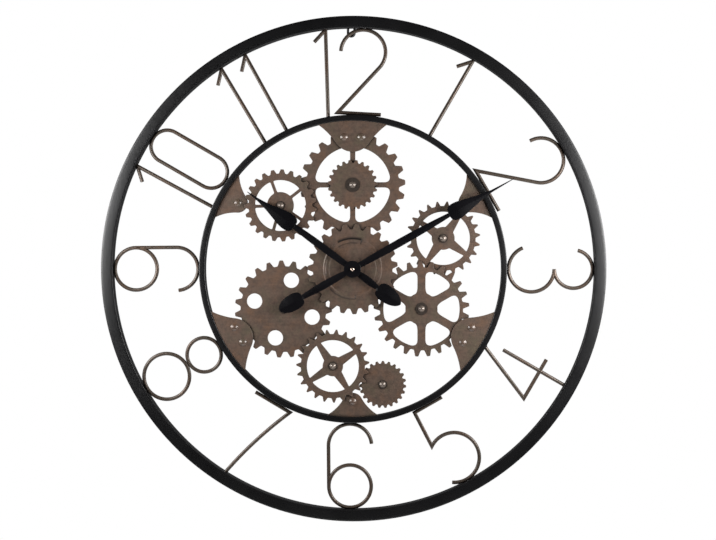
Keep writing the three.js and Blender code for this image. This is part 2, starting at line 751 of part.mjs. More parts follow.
function worksWheel(teeth, module, tooth, phase, back, thickness) {
  const pitchRadius = (teeth * module) / 2;
  const sizes = { teeth, ...tooth, phase, tip: pitchRadius + addendum * module,
    root: pitchRadius - dedendum * module };
  return plate(gearShape(sizes), back, thickness);
}

const up = 90;
const down = 270;
const halfPitch = (teeth) => 180 / teeth;
const handNutBack = minuteHandBack + hubThickness + seatGap;
const arborTip = handNutBack + handNutThread;
const arborProfile = [[0, caseBack], [arborPivot / 2, caseBack], [arborPivot / 2, roomBack + seatGap],
  [arborDiameter / 2, roomBack + seatGap], [arborDiameter / 2, handNutBack - seatGap],
  [arborThread / 2, handNutBack - seatGap], [arborThread / 2, arborTip], [0, arborTip]];
const cannonPinion = worksWheel(cannonTeeth, cannonModule, pinionTooth, up, reverserBack - seatGap,
  wheelThickness + 2 * seatGap);
addPiece('minute_arbor', join(turned(arborProfile, turnedSides), cannonPinion), 'zincSteel');

const hourTubeLength = hourHandBack + hubThickness - hourWheelBack;
const hourTube = disc(hourTubeOuter, hourWheelBack, hourTubeLength, turnedSides);
const hourWheel = worksWheel(hourTeeth, hourModule, wheelTooth, up, hourWheelBack, wheelThickness);
const hourBore = disc(hourBoreDiameter, hourWheelBack - seatGap, hourTubeLength + 2 * seatGap, turnedSides);
addPiece('hour_wheel', cut(join(hourTube, hourWheel), hourBore), 'brass');

const knobBack = caseBack - seatGap - knobThickness;
const bossBack = roomFront - pivotBossHeight;
const pinionFront = hourWheelBack + wheelThickness + seatGap;
const shaftEnd = knobBack + knobWeb + seatGap;
const reverserProfile = [[0, shaftEnd], [arborPivot / 2, shaftEnd],
  [arborPivot / 2, caseBack], [reverserShaft / 2, caseBack], [reverserShaft / 2, pinionFront],
  [arborPivot / 2, pinionFront], [arborPivot / 2, roomFront - seatGap], [0, roomFront - seatGap]];
const reverserWheel = worksWheel(reverserTeeth, cannonModule, wheelTooth,
  down + halfPitch(reverserTeeth), reverserBack, wheelThickness);
const reverserPinion = worksWheel(reverserPinionTeeth, hourModule, pinionTooth,
  down + halfPitch(reverserPinionTeeth), reverserBack, pinionFront - reverserBack);
const reverser = join(turned(reverserProfile, turnedSides), reverserWheel, reverserPinion);
addPiece('reverser_wheel', reverser.translate(0, worksDistance, 0), 'brass');

const knobPoints = gearShape({ teeth: knobGrips, tip: knobDiameter / 2,
  root: knobDiameter / 2 - knobGripDepth, rootShare: 0.6, tipShare: 0.4, phase: 0 });
const knobSocket = disc(arborPivot + 2 * seatGap, knobBack + knobWeb, knobThickness, turnedSides);
const knob = cut(plate(knobPoints, knobBack, knobThickness), knobSocket);
addPiece('setting_knob', knob.translate(0, worksDistance, 0), 'blackPlastic');

// Hand nut, a small cap over the end of the arbor
const nutBore = arborThread / 2 + seatGap;
const nutRadius = handNutDiameter / 2;
const nutFace = handNutBack + handNutHeight;
const nutProfile = [[nutBore, handNutBack], [nutRadius, handNutBack],
  [nutRadius, handNutBack + handNutSide], [nutRadius - handNutBevel, nutFace - handNutBevel],
  [handNutCrown / 2, nutFace], [0, nutFace],
  [0, arborTip + seatGap], [nutBore, arborTip + seatGap], [nutBore, handNutBack]];
addPiece('hand_nut', turned(nutProfile, turnedSides), 'brass');

// Bushing, washer and nut that clamp the movement to the centre gear

const bushingBore = bushingDiameter / 2 - bushingWall;
const flangeFront = roomFront - seatGap;
const bushingProfile = [[bushingBore, flangeFront - bushingFlangeHeight],
  [bushingFlange / 2, flangeFront - bushingFlangeHeight], [bushingFlange / 2, flangeFront],
  [bushingDiameter / 2, flangeFront], [bushingDiameter / 2, bushingFront], [bushingBore, bushingFront],
  [bushingBore, flangeFront - bushingFlangeHeight]];
addPiece('threaded_bushing', turned(bushingProfile, turnedSides), 'brass');

const bushingHole = bushingDiameter / 2 + seatGap;
const washerShape = annulus(fixingWasherDiameter / 2, bushingHole, holeSides);
addPiece('fixing_washer', plate(washerShape, washerBack, fixingWasherThickness), 'zincSteel');

const hexagon = new THREE.Shape(circlePoints(fixingNutFlats / 2 / Math.cos(Math.PI / 6), 6));
hexagon.holes.push(new THREE.Path(circlePoints(bushingHole, holeSides)));
addPiece('fixing_nut', plate(hexagon, nutBack, fixingNutHeight), 'brass');

// Case: a tray with a room for the works and, below a partition, a bay for the cell

const hourWheelTip = (hourTeeth * hourModule) / 2 + addendum * hourModule;
const partitionTop = -hourWheelTip - 2 * runningGap;
const bayTop = partitionTop - partitionWall;
const bayBottom = bayTop - batteryDiameter - 2 * seatGap;
const caseHalfHeight = caseWall - bayBottom;
const contactSpace = contactThickness + 2 * seatGap;
const bayHalf = batteryLength / 2 + contactSpace;
const caseHalfWidth = bayHalf + caseWall;
const bayShape = () => rectangle(-bayHalf, bayBottom, bayHalf, bayTop);

function movementCase() {
  const walls = rectangle(-caseHalfWidth, -caseHalfHeight, caseHalfWidth, caseHalfHeight, caseCorner);
  walls.holes.push(bayShape());
  walls.holes.push(rectangle(-bayHalf, partitionTop, bayHalf, caseHalfHeight - caseWall));
  const wallBack = roomBack + seatGap;
  const front = rectangle(-caseHalfWidth, -caseHalfHeight, caseHalfWidth, caseHalfHeight, caseCorner);
  front.holes.push(new THREE.Path(circlePoints(bushingHole, holeSides)));
  const tray = join(plate(walls, wallBack, caseFront - wallBack), plate(front, roomFront, caseWall));
  const bossHeight = pivotBossHeight + caseWall / 2;
  const boss = disc(pivotBoss, bossBack, bossHeight, holeSides, 0, worksDistance);
  const pivot = arborPivot + 2 * runningGap;
  const pivotDepth = pivotBossHeight + seatGap;
  const pivotHole = disc(pivot, bossBack - seatGap, pivotDepth, holeSides, 0, worksDistance);
  return cut(join(tray, boss), pivotHole);
}

function movementCover() {
  const shape = rectangle(-caseHalfWidth, -caseHalfHeight, caseHalfWidth, caseHalfHeight, caseCorner);
  shape.holes.push(bayShape());
  shape.holes.push(new THREE.Path(circlePoints(arborPivot / 2 + runningGap, holeSides)));
  const shaftHole = circlePoints(reverserShaft / 2 + runningGap, holeSides, 0, worksDistance);
  shape.holes.push(new THREE.Path(shaftHole));
  return plate(shape, caseBack, coverThickness);
}

addPiece('movement_case', movementCase(), 'blackPlastic');
addPiece('movement_cover', movementCover(), 'blackPlastic');

// Cell and its contacts, along the bottom of the case

const cellLift = roomFront - seatGap - batteryDiameter / 2;
const cellLine = (bayTop + bayBottom) / 2;
const cellStart = -batteryLength / 2;
const nubStart = -cellStart - batteryNubLength;
const cellProfile = [[0, cellStart], [batteryDiameter / 2, cellStart], [batteryDiameter / 2, nubStart],
  [batteryNubDiameter / 2, nubStart], [batteryNubDiameter / 2, -cellStart], [0, -cellStart]];
const cell = turned(cellProfile, turnedSides).rotateY(Math.PI / 2);
addPiece('battery', cell.translate(0, cellLine, cellLift), 'cellWrap');

function addContact(name, side) {
  const strip = new THREE.BoxGeometry(contactThickness, contactWidth, contactWidth);
  const middle = side * (bayHalf - seatGap - contactThickness / 2);
  addPiece(name, strip.translate(middle, cellLine, cellLift), 'zincSteel');
}

addContact('battery_contact_plus', 1);
addContact('battery_contact_minus', -1);

// Stepping motor: its board on the front wall and the coil on the board

const boardFront = roomFront - seatGap;
const boardLeft = -bayHalf + seatGap;
const boardTop = caseHalfHeight - caseWall - seatGap;
const boardShape = rectangle(boardLeft, boardTop - boardHeight, boardLeft + boardWidth, boardTop);
addPiece('circuit_board', plate(boardShape, boardFront - boardThickness, boardThickness), 'boardGreen');

const coilEnd = coilLength / 2;
const coilInner = coilEnd - coilFlangeThickness;
const coilProfile = [[0, -coilEnd], [coilFlange / 2, -coilEnd], [coilFlange / 2, -coilInner],
  [coilDiameter / 2, -coilInner], [coilDiameter / 2, coilInner], [coilFlange / 2, coilInner],
  [coilFlange / 2, coilEnd], [0, coilEnd]];
const coilLift = boardFront - boardThickness - seatGap - coilFlange / 2;
const coil = turned(coilProfile, turnedSides).rotateX(-Math.PI / 2);
coil.translate(boardLeft + boardWidth / 2, boardTop - boardHeight / 2, coilLift);
addPiece('drive_coil', coil, 'copperWire');

// The dial stands up, with its origin where the loop takes the nail
const nailLine = Math.sqrt(bandTop ** 2 - loopOffset ** 2);
dial.rotation.x = Math.PI / 2;
dial.position.set(-loopOffset, 0, -nailLine);

const clock = new THREE.Group();
clock.add(dial);

export default clock;
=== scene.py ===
# Gear wall clock: smooth rings, bent-rod numerals, stamped gear plates, folded hands and a quartz
# movement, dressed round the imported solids
import json
import math

import bmesh
import bpy
from mathutils import Matrix, Vector


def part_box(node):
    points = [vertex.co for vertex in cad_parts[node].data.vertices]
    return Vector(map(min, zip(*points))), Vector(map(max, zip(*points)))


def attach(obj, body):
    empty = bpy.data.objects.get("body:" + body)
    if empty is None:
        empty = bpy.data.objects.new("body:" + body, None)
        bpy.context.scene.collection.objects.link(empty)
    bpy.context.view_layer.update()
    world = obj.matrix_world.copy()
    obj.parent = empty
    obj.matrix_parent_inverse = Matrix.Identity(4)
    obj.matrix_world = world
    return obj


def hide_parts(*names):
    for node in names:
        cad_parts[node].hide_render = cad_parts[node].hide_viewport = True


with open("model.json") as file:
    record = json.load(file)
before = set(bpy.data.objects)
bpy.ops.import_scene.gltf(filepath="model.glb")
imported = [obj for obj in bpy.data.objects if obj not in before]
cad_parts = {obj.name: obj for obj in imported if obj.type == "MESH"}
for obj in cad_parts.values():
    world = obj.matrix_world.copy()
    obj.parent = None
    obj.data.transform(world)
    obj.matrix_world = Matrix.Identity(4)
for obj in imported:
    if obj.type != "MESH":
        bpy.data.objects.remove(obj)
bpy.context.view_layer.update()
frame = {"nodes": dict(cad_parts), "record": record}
scene = bpy.context.scene
nodes = frame["nodes"]
print("frame loaded:", len(nodes), "nodes")

# Dial space: millimetres, x to the right, y up and z out from the wall, with the arbor at 0, 0
mm = 0.001
ringLow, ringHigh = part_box("outer_ring")
arbor = Vector(((ringLow.x + ringHigh.x) / 2, 0, (ringLow.z + ringHigh.z) / 2))
toRow = Matrix.Translation(arbor) @ Matrix.Rotation(math.pi / 2, 4, "X") @ Matrix.Scale(mm, 4)
toDial = toRow.inverted()


def dialPoints(node):
    return [toDial @ v.co for v in nodes[node].data.vertices]


def middleOf(node):
    points = dialPoints(node)
    xs = [p.x for p in points]
    ys = [p.y for p in points]
    return Vector(((min(xs) + max(xs)) / 2, (min(ys) + max(ys)) / 2))


def depthOf(node):
    zs = [p.z for p in dialPoints(node)]
    return min(zs), max(zs)


def radiiOf(node):
    radii = [p.xy.length for p in dialPoints(node)]
    return min(radii), max(radii)


# Materials

def linear(hexColour):
    channels = [int(hexColour[i:i + 2], 16) / 255 for i in (1, 3, 5)]
    return [c / 12.92 if c <= 0.04045 else ((c + 0.055) / 1.055) ** 2.4 for c in channels] + [1]


# An input takes a value, a socket or a node, and a node gives its first output in use
def setInputs(tree, node, inputs):
    for socket, value in inputs.items():
        if isinstance(value, bpy.types.Node):
            value = next(output for output in value.outputs if output.enabled)
        if isinstance(value, bpy.types.NodeSocket):
            tree.links.new(value, node.inputs[socket])
        else:
            node.inputs[socket].default_value = value


def addNode(tree, kind, inputs=None, **settings):
    node = tree.nodes.new(kind)
    for name, value in settings.items():
        setattr(node, name, value)
    setInputs(tree, node, inputs or {})
    return node


# A new material, its tree, its shader and the place of each point in the object
def newMaterial(name):
    material = bpy.data.materials.new(name)
    material.use_nodes = True
    tree = material.node_tree
    place = addNode(tree, "ShaderNodeTexCoord").outputs["Object"]
    return material, tree, tree.nodes["Principled BSDF"], place


# The scale of a pattern from its real size in millimetres
def perMetre(size):
    return 1 / (size * mm)


# Baked black coat, on the steel tube of the rings and the aluminium of the hands: satin, with the fine
# orange peel of powder
powder = {"cloud": 45, "peel": 1.6, "peelDepth": 0.1, "peelStrength": 0.06}


def powderCoat(name, dark, pale, roughness):
    material, tree, shader, place = newMaterial(name)
    cloud = addNode(tree, "ShaderNodeTexNoise",
                    {"Vector": place, "Scale": perMetre(powder["cloud"]), "Detail": 4})
    peel = addNode(tree, "ShaderNodeTexNoise",
                   {"Vector": place, "Scale": perMetre(powder["peel"]), "Detail": 2})
    tint = addNode(tree, "ShaderNodeMix", {"Factor": cloud, 6: linear(dark), 7: linear(pale)},
                   data_type="RGBA")
    gloss = addNode(tree, "ShaderNodeMapRange",
                    {"Value": cloud, "To Min": roughness - 0.06, "To Max": roughness + 0.08})
    bump = addNode(tree, "ShaderNodeBump", {"Height": peel, "Strength": powder["peelStrength"],
                                            "Distance": powder["peelDepth"] * mm})
    setInputs(tree, shader, {"Base Color": tint, "Roughness": gloss, "Normal": bump})
    return material


# Antique bronze wash on stamped steel: brown, with rusty and greenish clouds, darker stains and a fine grain
# brushed along x under the lacquer; painted shade darkens corners, gaps between parts and marked places
bronze = {"cloud": 26, "stain": 7, "grain": 1.6, "grainStretch": 0.03, "grainDepth": 0.1, "corner": 5,
          "darkening": "#150d08"}


def antiqueBronze(name, tones, metallic, roughness, tooth, lacquer=0.0, shadeStrength=0.95, brush=0.4):
    material, tree, shader, place = newMaterial(name)
    cloud = addNode(tree, "ShaderNodeTexNoise",
                    {"Vector": place, "Scale": perMetre(bronze["cloud"]), "Detail": 5, "Roughness": 0.6})
    ramp = addNode(tree, "ShaderNodeValToRGB", {"Fac": cloud})
    stops = ramp.color_ramp.elements
    for stop, position, tone in zip(stops, (0.33, 0.68), ("rust", "moss")):
        stop.position = position
        stop.color = linear(tones[tone])
    stops.new(0.5).color = linear(tones["base"])
    stain = addNode(tree, "ShaderNodeTexNoise",
                    {"Vector": place, "Scale": perMetre(bronze["stain"]), "Detail": 6, "Roughness": 0.7})
    depth = addNode(tree, "ShaderNodeMapRange",
                    {"Value": stain, "From Min": 0.35, "From Max": 0.6, "To Min": 0.35, "To Max": -0.15})
    along = addNode(tree, "ShaderNodeMapping", {"Vector": place, "Scale": (bronze["grainStretch"], 1, 1)})
    grain = addNode(tree, "ShaderNodeTexNoise",
                    {"Vector": along, "Scale": perMetre(bronze["grain"]), "Detail": 3})
    brushed = addNode(tree, "ShaderNodeMath", {0: grain, 1: brush, 2: depth}, operation="MULTIPLY_ADD")
    stained = addNode(tree, "ShaderNodeMix", {"Factor": brushed, 6: ramp, 7: linear(tones["stain"])},
                      data_type="RGBA")
    # The attribute named here marks darkened places: painted shade along the relief's walls, a darker tone on
    # the washers
    darkening = addNode(tree, "ShaderNodeAttribute", attribute_name="darkening").outputs["Fac"]
    # Painted shade: ambient occlusion darkens corners and the gaps between parts
    corner = addNode(tree, "ShaderNodeAmbientOcclusion", {"Distance": bronze["corner"] * mm}).outputs["AO"]
    paintedCornerShade = addNode(tree, "ShaderNodeMapRange",
                   {"Value": corner, "From Min": 0.5, "From Max": 0.92, "To Min": shadeStrength, "To Max": 0.0})
    dark = addNode(tree, "ShaderNodeMath", {0: paintedCornerShade, 1: darkening}, operation="MAXIMUM")
    colour = addNode(tree, "ShaderNodeMix", {"Factor": dark, 6: stained, 7: linear(bronze["darkening"])},
                     data_type="RGBA")
    gloss = addNode(tree, "ShaderNodeMapRange", {"Value": stain, "From Min": 0.3, "From Max": 0.7,
                                                 "To Min": roughness + 0.08, "To Max": roughness - 0.06})
    bump = addNode(tree, "ShaderNodeBump",
                   {"Height": grain, "Strength": tooth, "Distance": bronze["grainDepth"] * mm})
    setInputs(tree, shader, {"Base Color": colour, "Metallic": metallic, "Roughness": gloss, "Normal": bump,
                             "Coat Weight": lacquer, "Coat Roughness": 0.2})
    return material


# Bare metal, turned or plated: clean colour, with fine tool marks that break up the highlight
def bareMetal(name, colour, roughness, markSize, markDepth=0.05):
    material, tree, shader, place = newMaterial(name)
    marks = addNode(tree, "ShaderNodeTexNoise", {"Vector": place, "Scale": perMetre(markSize), "Detail": 3})
    gloss = addNode(tree, "ShaderNodeMapRange",
                    {"Value": marks, "To Min": roughness - 0.08, "To Max": roughness + 0.1})
    bump = addNode(tree, "ShaderNodeBump", {"Height": marks, "Strength": 0.15, "Distance": markDepth * mm})
    setInputs(tree, shader, {"Base Color": linear(colour), "Metallic": 1.0, "Roughness": gloss,
                             "Normal": bump})
    return material


# Moulded or wrapped plastic: one even colour with the fine grain of a spark-eroded mould
def mouldedPlastic(name, colour, shade, roughness, grainSize, grainDepth=0.08):
    material, tree, shader, place = newMaterial(name)
    grain = addNode(tree, "ShaderNodeTexNoise", {"Vector": place, "Scale": perMetre(grainSize), "Detail": 2})
    tint = addNode(tree, "ShaderNodeMix", {"Factor": grain, 6: linear(colour), 7: linear(shade)},
                   data_type="RGBA")
    bump = addNode(tree, "ShaderNodeBump", {"Height": grain, "Strength": 0.3, "Distance": grainDepth * mm})
    setInputs(tree, shader, {"Base Color": tint, "Roughness": roughness, "Normal": bump})
    return material


plateTones = {"base": "#5c4a3f", "rust": "#624a3a", "moss": "#574c3d", "stain": "#2d231c"}
screwTones = {"base": "#7d7168", "rust": "#7a6c62", "moss": "#74695f", "stain": "#3a312b"}
rodTones = {"base": "#4a4038", "rust": "#4f3f33", "moss": "#463f36", "stain": "#2e2620"}
finishes = {
    "black_steel": powderCoat("powderCoatedSteel", "#060607", "#0a090b", 0.345),
    "hand_black": powderCoat("lacqueredAluminium", "#040406", "#08070b", 0.27),
    "bronze_plate": antiqueBronze("antiqueBronzePlate", plateTones, 0.2, 0.5, 0.3),
    "bronze_rod": antiqueBronze("antiqueBronzeRod", rodTones, 0.4, 0.38, 0.03, brush=0.1),
    "screw_steel": antiqueBronze("bronzePlatedSteel", screwTones, 0.5, 0.38, 0.05, lacquer=0.5),
    "brass": bareMetal("turnedBrass", "#d8b060", 0.26, 0.8),
    "zinc_steel": bareMetal("zincPlatedSteel", "#b9bcbf", 0.36, 1.2),
    "copper_wire": bareMetal("enamelledCopper", "#b06a36", 0.34, 0.5),
    "black_plastic": mouldedPlastic("mouldedAbs", "#17171a", "#1e1e21", 0.55, 0.7),
    "cell_wrap": mouldedPlastic("shrinkWrap", "#3c6a55", "#437460", 0.38, 4.0),
    "board_green": mouldedPlastic("solderMask", "#2c5839", "#336242", 0.45, 2.0),
}
print("finishes:", len(finishes))


# Mesh helpers, all in dial space

def at(x, y):
    return Vector((x, y))


def smoothEdges(mesh, sharpAngle):
    mesh.shade_smooth()
    mesh.set_sharp_from_angle(angle=math.radians(sharpAngle))


def meshOf(name, bm, sharpAngle=35):
    bmesh.ops.remove_doubles(bm, verts=bm.verts, dist=1e-4)
    bmesh.ops.dissolve_degenerate(bm, edges=bm.edges, dist=1e-5)
    bmesh.ops.recalc_face_normals(bm, faces=bm.faces)
    mesh = bpy.data.meshes.new(name)
    bm.to_mesh(mesh)
    bm.free()
    smoothEdges(mesh, sharpAngle)
    return mesh


# A piece whose mesh is in the frame's own metres already; its finish is the slot's unless one is given
def placePiece(name, mesh, slot, body, *replaced, finish=None):
    mesh.materials.clear()
    mesh.materials.append(finish or finishes[slot])
    piece = bpy.data.objects.new(name, mesh)
    scene.collection.objects.link(piece)
    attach(piece, body)
    if replaced:
        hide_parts(*replaced)


def addPiece(name, mesh, slot, body, *replaced, finish=None):
    mesh.transform(toRow)
    placePiece(name, mesh, slot, body, *replaced, finish=finish)


def evaluatedMesh(holder):
    scene.collection.objects.link(holder)
    graph = bpy.context.evaluated_depsgraph_get()
    mesh = bpy.data.meshes.new_from_object(holder.evaluated_get(graph))
    bpy.data.objects.remove(holder)
    return mesh


def polar(radius, degrees):
    turn = math.radians(degrees)
    return Vector((radius * math.cos(turn), radius * math.sin(turn)))


def arc(x, y, radius, start, end, step=5):
    count = max(2, math.ceil(abs(end - start) / step))
    return [at(x, y) + polar(radius, start + (end - start) * i / count) for i in range(count + 1)]


def curveThrough(start, corner, end, count=8):
    points = []
    for i in range(count + 1):
        t = i / count
        points.append(start * (1 - t) ** 2 + corner * (2 * t * (1 - t)) + end * t ** 2)
    return points


# Rounds the corners of a loop: each is a point and its radius, and takes at most a share of a side
def roundedLoop(corners, count=3, share=0.45):
    points = []
    for i, (corner, radius) in enumerate(corners):
        toLast = corners[i - 1][0] - corner
        toNext = corners[(i + 1) % len(corners)][0] - corner
        reach = radius / math.tan(toLast.angle(toNext) / 2)
        reach = min(reach, toLast.length * share, toNext.length * share)
        start = corner + toLast.normalized() * reach
        points += curveThrough(start, corner, corner + toNext.normalized() * reach, count)
    return points


# Skins rows of points: along runs from row to row, across from point to point in a row
def joinRows(bm, rows, loopAlong, loopAcross):
    for i in range(len(rows) if loopAlong else len(rows) - 1):
        here = rows[i]
        there = rows[(i + 1) % len(rows)]
        for j in range(len(here) if loopAcross else len(here) - 1):
            k = (j + 1) % len(here)
            bm.faces.new((here[j], there[j], there[k], here[k]))


# A turned shape from radius and height pairs, about the middle of the dial
def turnedInto(bm, profile, segments, closed=False):
    rows = []
    for i in range(segments):
        spin = polar(1, 360 * i / segments)
        rows.append([bm.verts.new((r * spin.x, r * spin.y, z)) for r, z in profile])
    joinRows(bm, rows, True, closed)


def turnedMesh(name, profile, segments, closed=False):
    bm = bmesh.new()
    turnedInto(bm, profile, segments, closed)
    return meshOf(name, bm)


# The section of a washer or a boss, its front edge eased
def discProfile(inner, outer, back, front, edge):
    return [(inner, back), (outer, back), (outer, front - edge), (outer - edge, front), (inner, front)]


# A plate with rounded edges from its outline and holes
def stampedPlate(name, loops, back, front, edge):
    outline = bpy.data.curves.new(name, "CURVE")
    outline.dimensions = "2D"
    outline.fill_mode = "BOTH"
    outline.extrude = (front - back) / 2 - edge
    outline.bevel_depth = edge
    outline.bevel_resolution = 1
    outline.offset = -edge
    for loop in loops:
        spline = outline.splines.new("POLY")
        spline.points.add(len(loop) - 1)
        for point, place in zip(spline.points, loop):
            point.co = (place.x, place.y, 0, 1)
        spline.use_cyclic_u = True
    flat = evaluatedMesh(bpy.data.objects.new(name, outline))
    bm = bmesh.new()
    bm.from_mesh(flat)
    bpy.data.meshes.remove(flat)
    bmesh.ops.translate(bm, verts=bm.verts, vec=(0, 0, (front + back) / 2))
    mesh = meshOf(name, bm, 50)
    for face in mesh.polygons:
        face.use_smooth = abs(face.normal.z) < 0.99  # the two sides stay dead flat
    return mesh


# Geometry Nodes helpers: a tree that takes points, named numbers and a finish

def newTree(name, numbers):
    tree = bpy.data.node_groups.new(name, "GeometryNodeTree")
    kinds = {"Geometry": "Geometry", **dict.fromkeys(numbers, "Float"), "Finish": "Material"}
    for label, kind in kinds.items():
        tree.interface.new_socket(label, in_out="INPUT", socket_type="NodeSocket" + kind)
    tree.interface.new_socket("Geometry", in_out="OUTPUT", socket_type="NodeSocketGeometry")
    given = addNode(tree, "NodeGroupInput").outputs
    return tree, given, addNode(tree, "GeometryNodeMeshToPoints", {"Mesh": given["Geometry"]})


def closeTree(tree, geometry, finish):
    real = addNode(tree, "GeometryNodeRealizeInstances", {"Geometry": geometry})
    coated = addNode(tree, "GeometryNodeSetMaterial", {"Geometry": real, "Material": finish})
    addNode(tree, "NodeGroupOutput", {0: coated})


# A mesh that a node tree grows from points and their attributes, with its numbers set by name
def grownMesh(name, tree, points, attributes, numbers, finish):
    mesh = bpy.data.meshes.new(name)
    mesh.from_pydata(points, [], [])
    for key, values in attributes.items():
        layer = mesh.attributes.new(key, "FLOAT", "POINT")
        layer.data.foreach_set("value", values)
    holder = bpy.data.objects.new(name, mesh)
    modifier = holder.modifiers.new(name, "NODES")
    modifier.node_group = tree
    sockets = {s.name: s.identifier for s in tree.interface.items_tree if s.in_out == "INPUT"}
    for key, value in dict(numbers, Finish=finish).items():
        modifier[sockets[key]] = value
    grown = evaluatedMesh(holder)
    bpy.data.meshes.remove(mesh)
    smoothEdges(grown, 40)
    return grown


# Rings: rectangular steel tube rolled to a circle, its corners eased and its face a little crowned
rings = {"corner": 0.7, "cornerSteps": 3, "crown": 0.012, "crownSteps": 6, "segments": 256}


def tubeProfile(inner, outer, back, front):
    r = rings["corner"]
    step = 90 / rings["cornerSteps"]
    crown = rings["crown"] * (outer - inner)
    shoulder = front - crown - r
    half = (outer - inner) / 2 - r
    profile = arc(outer - r, back + r, r, -90, 0, step) + arc(outer - r, shoulder, r, 0, 90, step)
    for i in range(1, rings["crownSteps"]):
        across = 1 - 2 * i / rings["crownSteps"]
        profile.append(at((outer + inner) / 2 + half * across, front - crown * across ** 2))
    profile += arc(inner + r, shoulder, r, 90, 180, step) + arc(inner + r, back + r, r, 180, 270, step)
    return [(p.x, p.y) for p in profile]


for node in ("outer_ring", "inner_ring"):
    profile = tubeProfile(*radiiOf(node), *depthOf(node))
    ringMesh = turnedMesh(node, profile, rings["segments"], closed=True)
    addPiece(node + "_bar", ringMesh, "black_steel", "frame", node)
ringInside, bandFoot = radiiOf("inner_ring")
bandTop = radiiOf("outer_ring")[0]
ringFront = depthOf("outer_ring")[1]
print("rings: band from", round(bandFoot, 1), "to", round(bandTop, 1))


# Numerals: round rod, bent or mitred, its cut ends eased; the coat lies on the bare rod
rods = {"diameter": 4.7, "coat": 0.25, "sides": 16, "ease": 0.45, "sink": 0.15, "flagSpan": 15.7,
        "flagDrop": 17.2}
rodRadius = rods["diameter"] / 2
rodLift = ringFront / 2
footLine = bandFoot + rodRadius - rods["sink"]
topLine = bandTop - rodRadius + rods["sink"]
belowFoot = bandFoot - rods["diameter"]
aboveTop = bandTop + rods["diameter"]


def leftOf(here, there):
    along = (there - here).normalized()
    return at(-along.y, along.x)


def easedEnds(path, ease):
    first = path[0] + (path[1] - path[0]).normalized() * ease
    last = path[-1] + (path[-2] - path[-1]).normalized() * ease
    return [path[0], first] + path[1:-1] + [last, path[-1]]


def sweepRod(bm, path, lift, radius, closed=False):
    if not closed:
        path = easedEnds(path, rods["ease"])
    count = len(path)
    sections = []
    for i, point in enumerate(path):
        before = leftOf(path[i - 1], point) if closed or i else None
        after = leftOf(point, path[(i + 1) % count]) if closed or i < count - 1 else None
        first = before or after
        second = after or before
        mitre = (first + second) / (1 + first.dot(second))
        size = radius if closed or 0 < i < count - 1 else radius - rods["ease"]
        section = []
        for j in range(rods["sides"]):
            spin = polar(size, 360 * (j + 0.5) / rods["sides"])
            side = point + mitre * spin.x
            section.append(bm.verts.new((side.x, side.y, lift + spin.y)))
        sections.append(section)
    joinRows(bm, sections, closed, True)
    if not closed:
        bm.faces.new(sections[0])
        bm.faces.new(reversed(sections[-1]))


def turnedPath(path, hour):
    turn = Matrix.Rotation(-math.radians(30 * hour), 2)
    return [turn @ point for point in path]


# Each stroke is a path in the upright place of the 12, and whether it closes on itself
def oneStroke(foot, top):
    flag = at(top - rods["flagSpan"], topLine - rods["flagDrop"])
    return [([at(foot, belowFoot), at(top, topLine), flag], False)]


def twoStroke(bowl, corner, end, radius=31):
    middle = at(bowl, topLine - radius)
    away = at(corner, footLine) - middle
    leave = math.degrees(math.atan2(away.y, away.x) + math.acos(radius / away.length))
    over = arc(middle.x, middle.y, radius, 180, leave)
    return [(over + [at(corner, footLine), at(end, footLine)], False)]


def threeStrokes(footBowl=31.6, footEnd=-158, topStart=167):
    topBowl = (topLine - footLine) / 2 - footBowl
    return [(arc(0, footLine + footBowl, footBowl, 90, footEnd), False),
            (arc(0, topLine - topBowl, topBowl, topStart, -90), False)]


def fourStrokes(barBelowTop=36.8, barLeft=-25.7, barRight=36.7, stemAside=-7.2, stemAboveFoot=20.8):
    barLine = topLine - barBelowTop
    stem = [at(stemAside, footLine + stemAboveFoot), at(stemAside, aboveTop)]
    return [([at(0, belowFoot), at(barRight, barLine), at(barLeft, barLine)], False), (stem, False)]


def fiveStroke(barEnd=-18.2, corner=25.6, bowl=34.7, aside=8.8, start=-56.4, end=-305):
    bowlPath = arc(aside, topLine - bowl, bowl, start, end)
    return [([at(barEnd, footLine), at(corner, footLine)] + bowlPath, False)]


def sixStrokes(aside, hook=30, hookStart=185, bowl=29.5):
    bowlLine = topLine - bowl
    tail = arc(aside, footLine + hook, hook, hookStart, 360) + [at(aside + bowl, bowlLine)]
    return [(tail, False), (arc(aside, bowlLine, bowl, 0, 360)[1:], True)]


def sevenStroke(barEnd=31.8, barLift=0.6, corner=-24, kneeLift=1.2, end=13.3, bow=3.6):
    knee = at(corner, footLine + kneeLift)
    foot = at(end, aboveTop)
    aside = leftOf(foot, knee) * (2 * bow)
    leg = curveThrough(knee, (knee + foot) / 2 + aside, foot, 12)
    return [([at(barEnd, footLine + barLift)] + leg, False)]


def eightStrokes(footRing=23.85):
    topRing = (topLine - footLine - rods["diameter"]) / 2 - footRing
    return [(arc(0, footLine + footRing, footRing, 0, 360)[1:], True),
            (arc(0, topLine - topRing, topRing, 0, 360)[1:], True)]


def zeroStroke(aside=18.3, radius=22.65):
    lower = arc(aside, footLine + radius, radius, -180, 0)
    return [(lower + arc(aside, topLine - radius, radius, 0, 180), True)]


numerals = {
    "numeral_1": (1, oneStroke(0, 0)), "numeral_2": (2, twoStroke(0, -32.8, 31.5)),
    "numeral_3": (3, threeStrokes()), "numeral_4": (4, fourStrokes()), "numeral_5": (5, fiveStroke()),
    "numeral_6": (6, sixStrokes(4)), "numeral_7": (7, sevenStroke()), "numeral_8": (8, eightStrokes()),
    "numeral_9": (9, sixStrokes(0)),
    "numeral_10_one": (10, oneStroke(-22.8, -26.2)), "numeral_10_zero": (10, zeroStroke()),
    "numeral_11_first": (11, oneStroke(-17.6, -19.4)), "numeral_11_second": (11, oneStroke(16.4, 18.8)),
    "numeral_12_one": (12, oneStroke(-34.2, -38)), "numeral_12_two": (12.11, twoStroke(-3, -33.5, 26.5)),
}

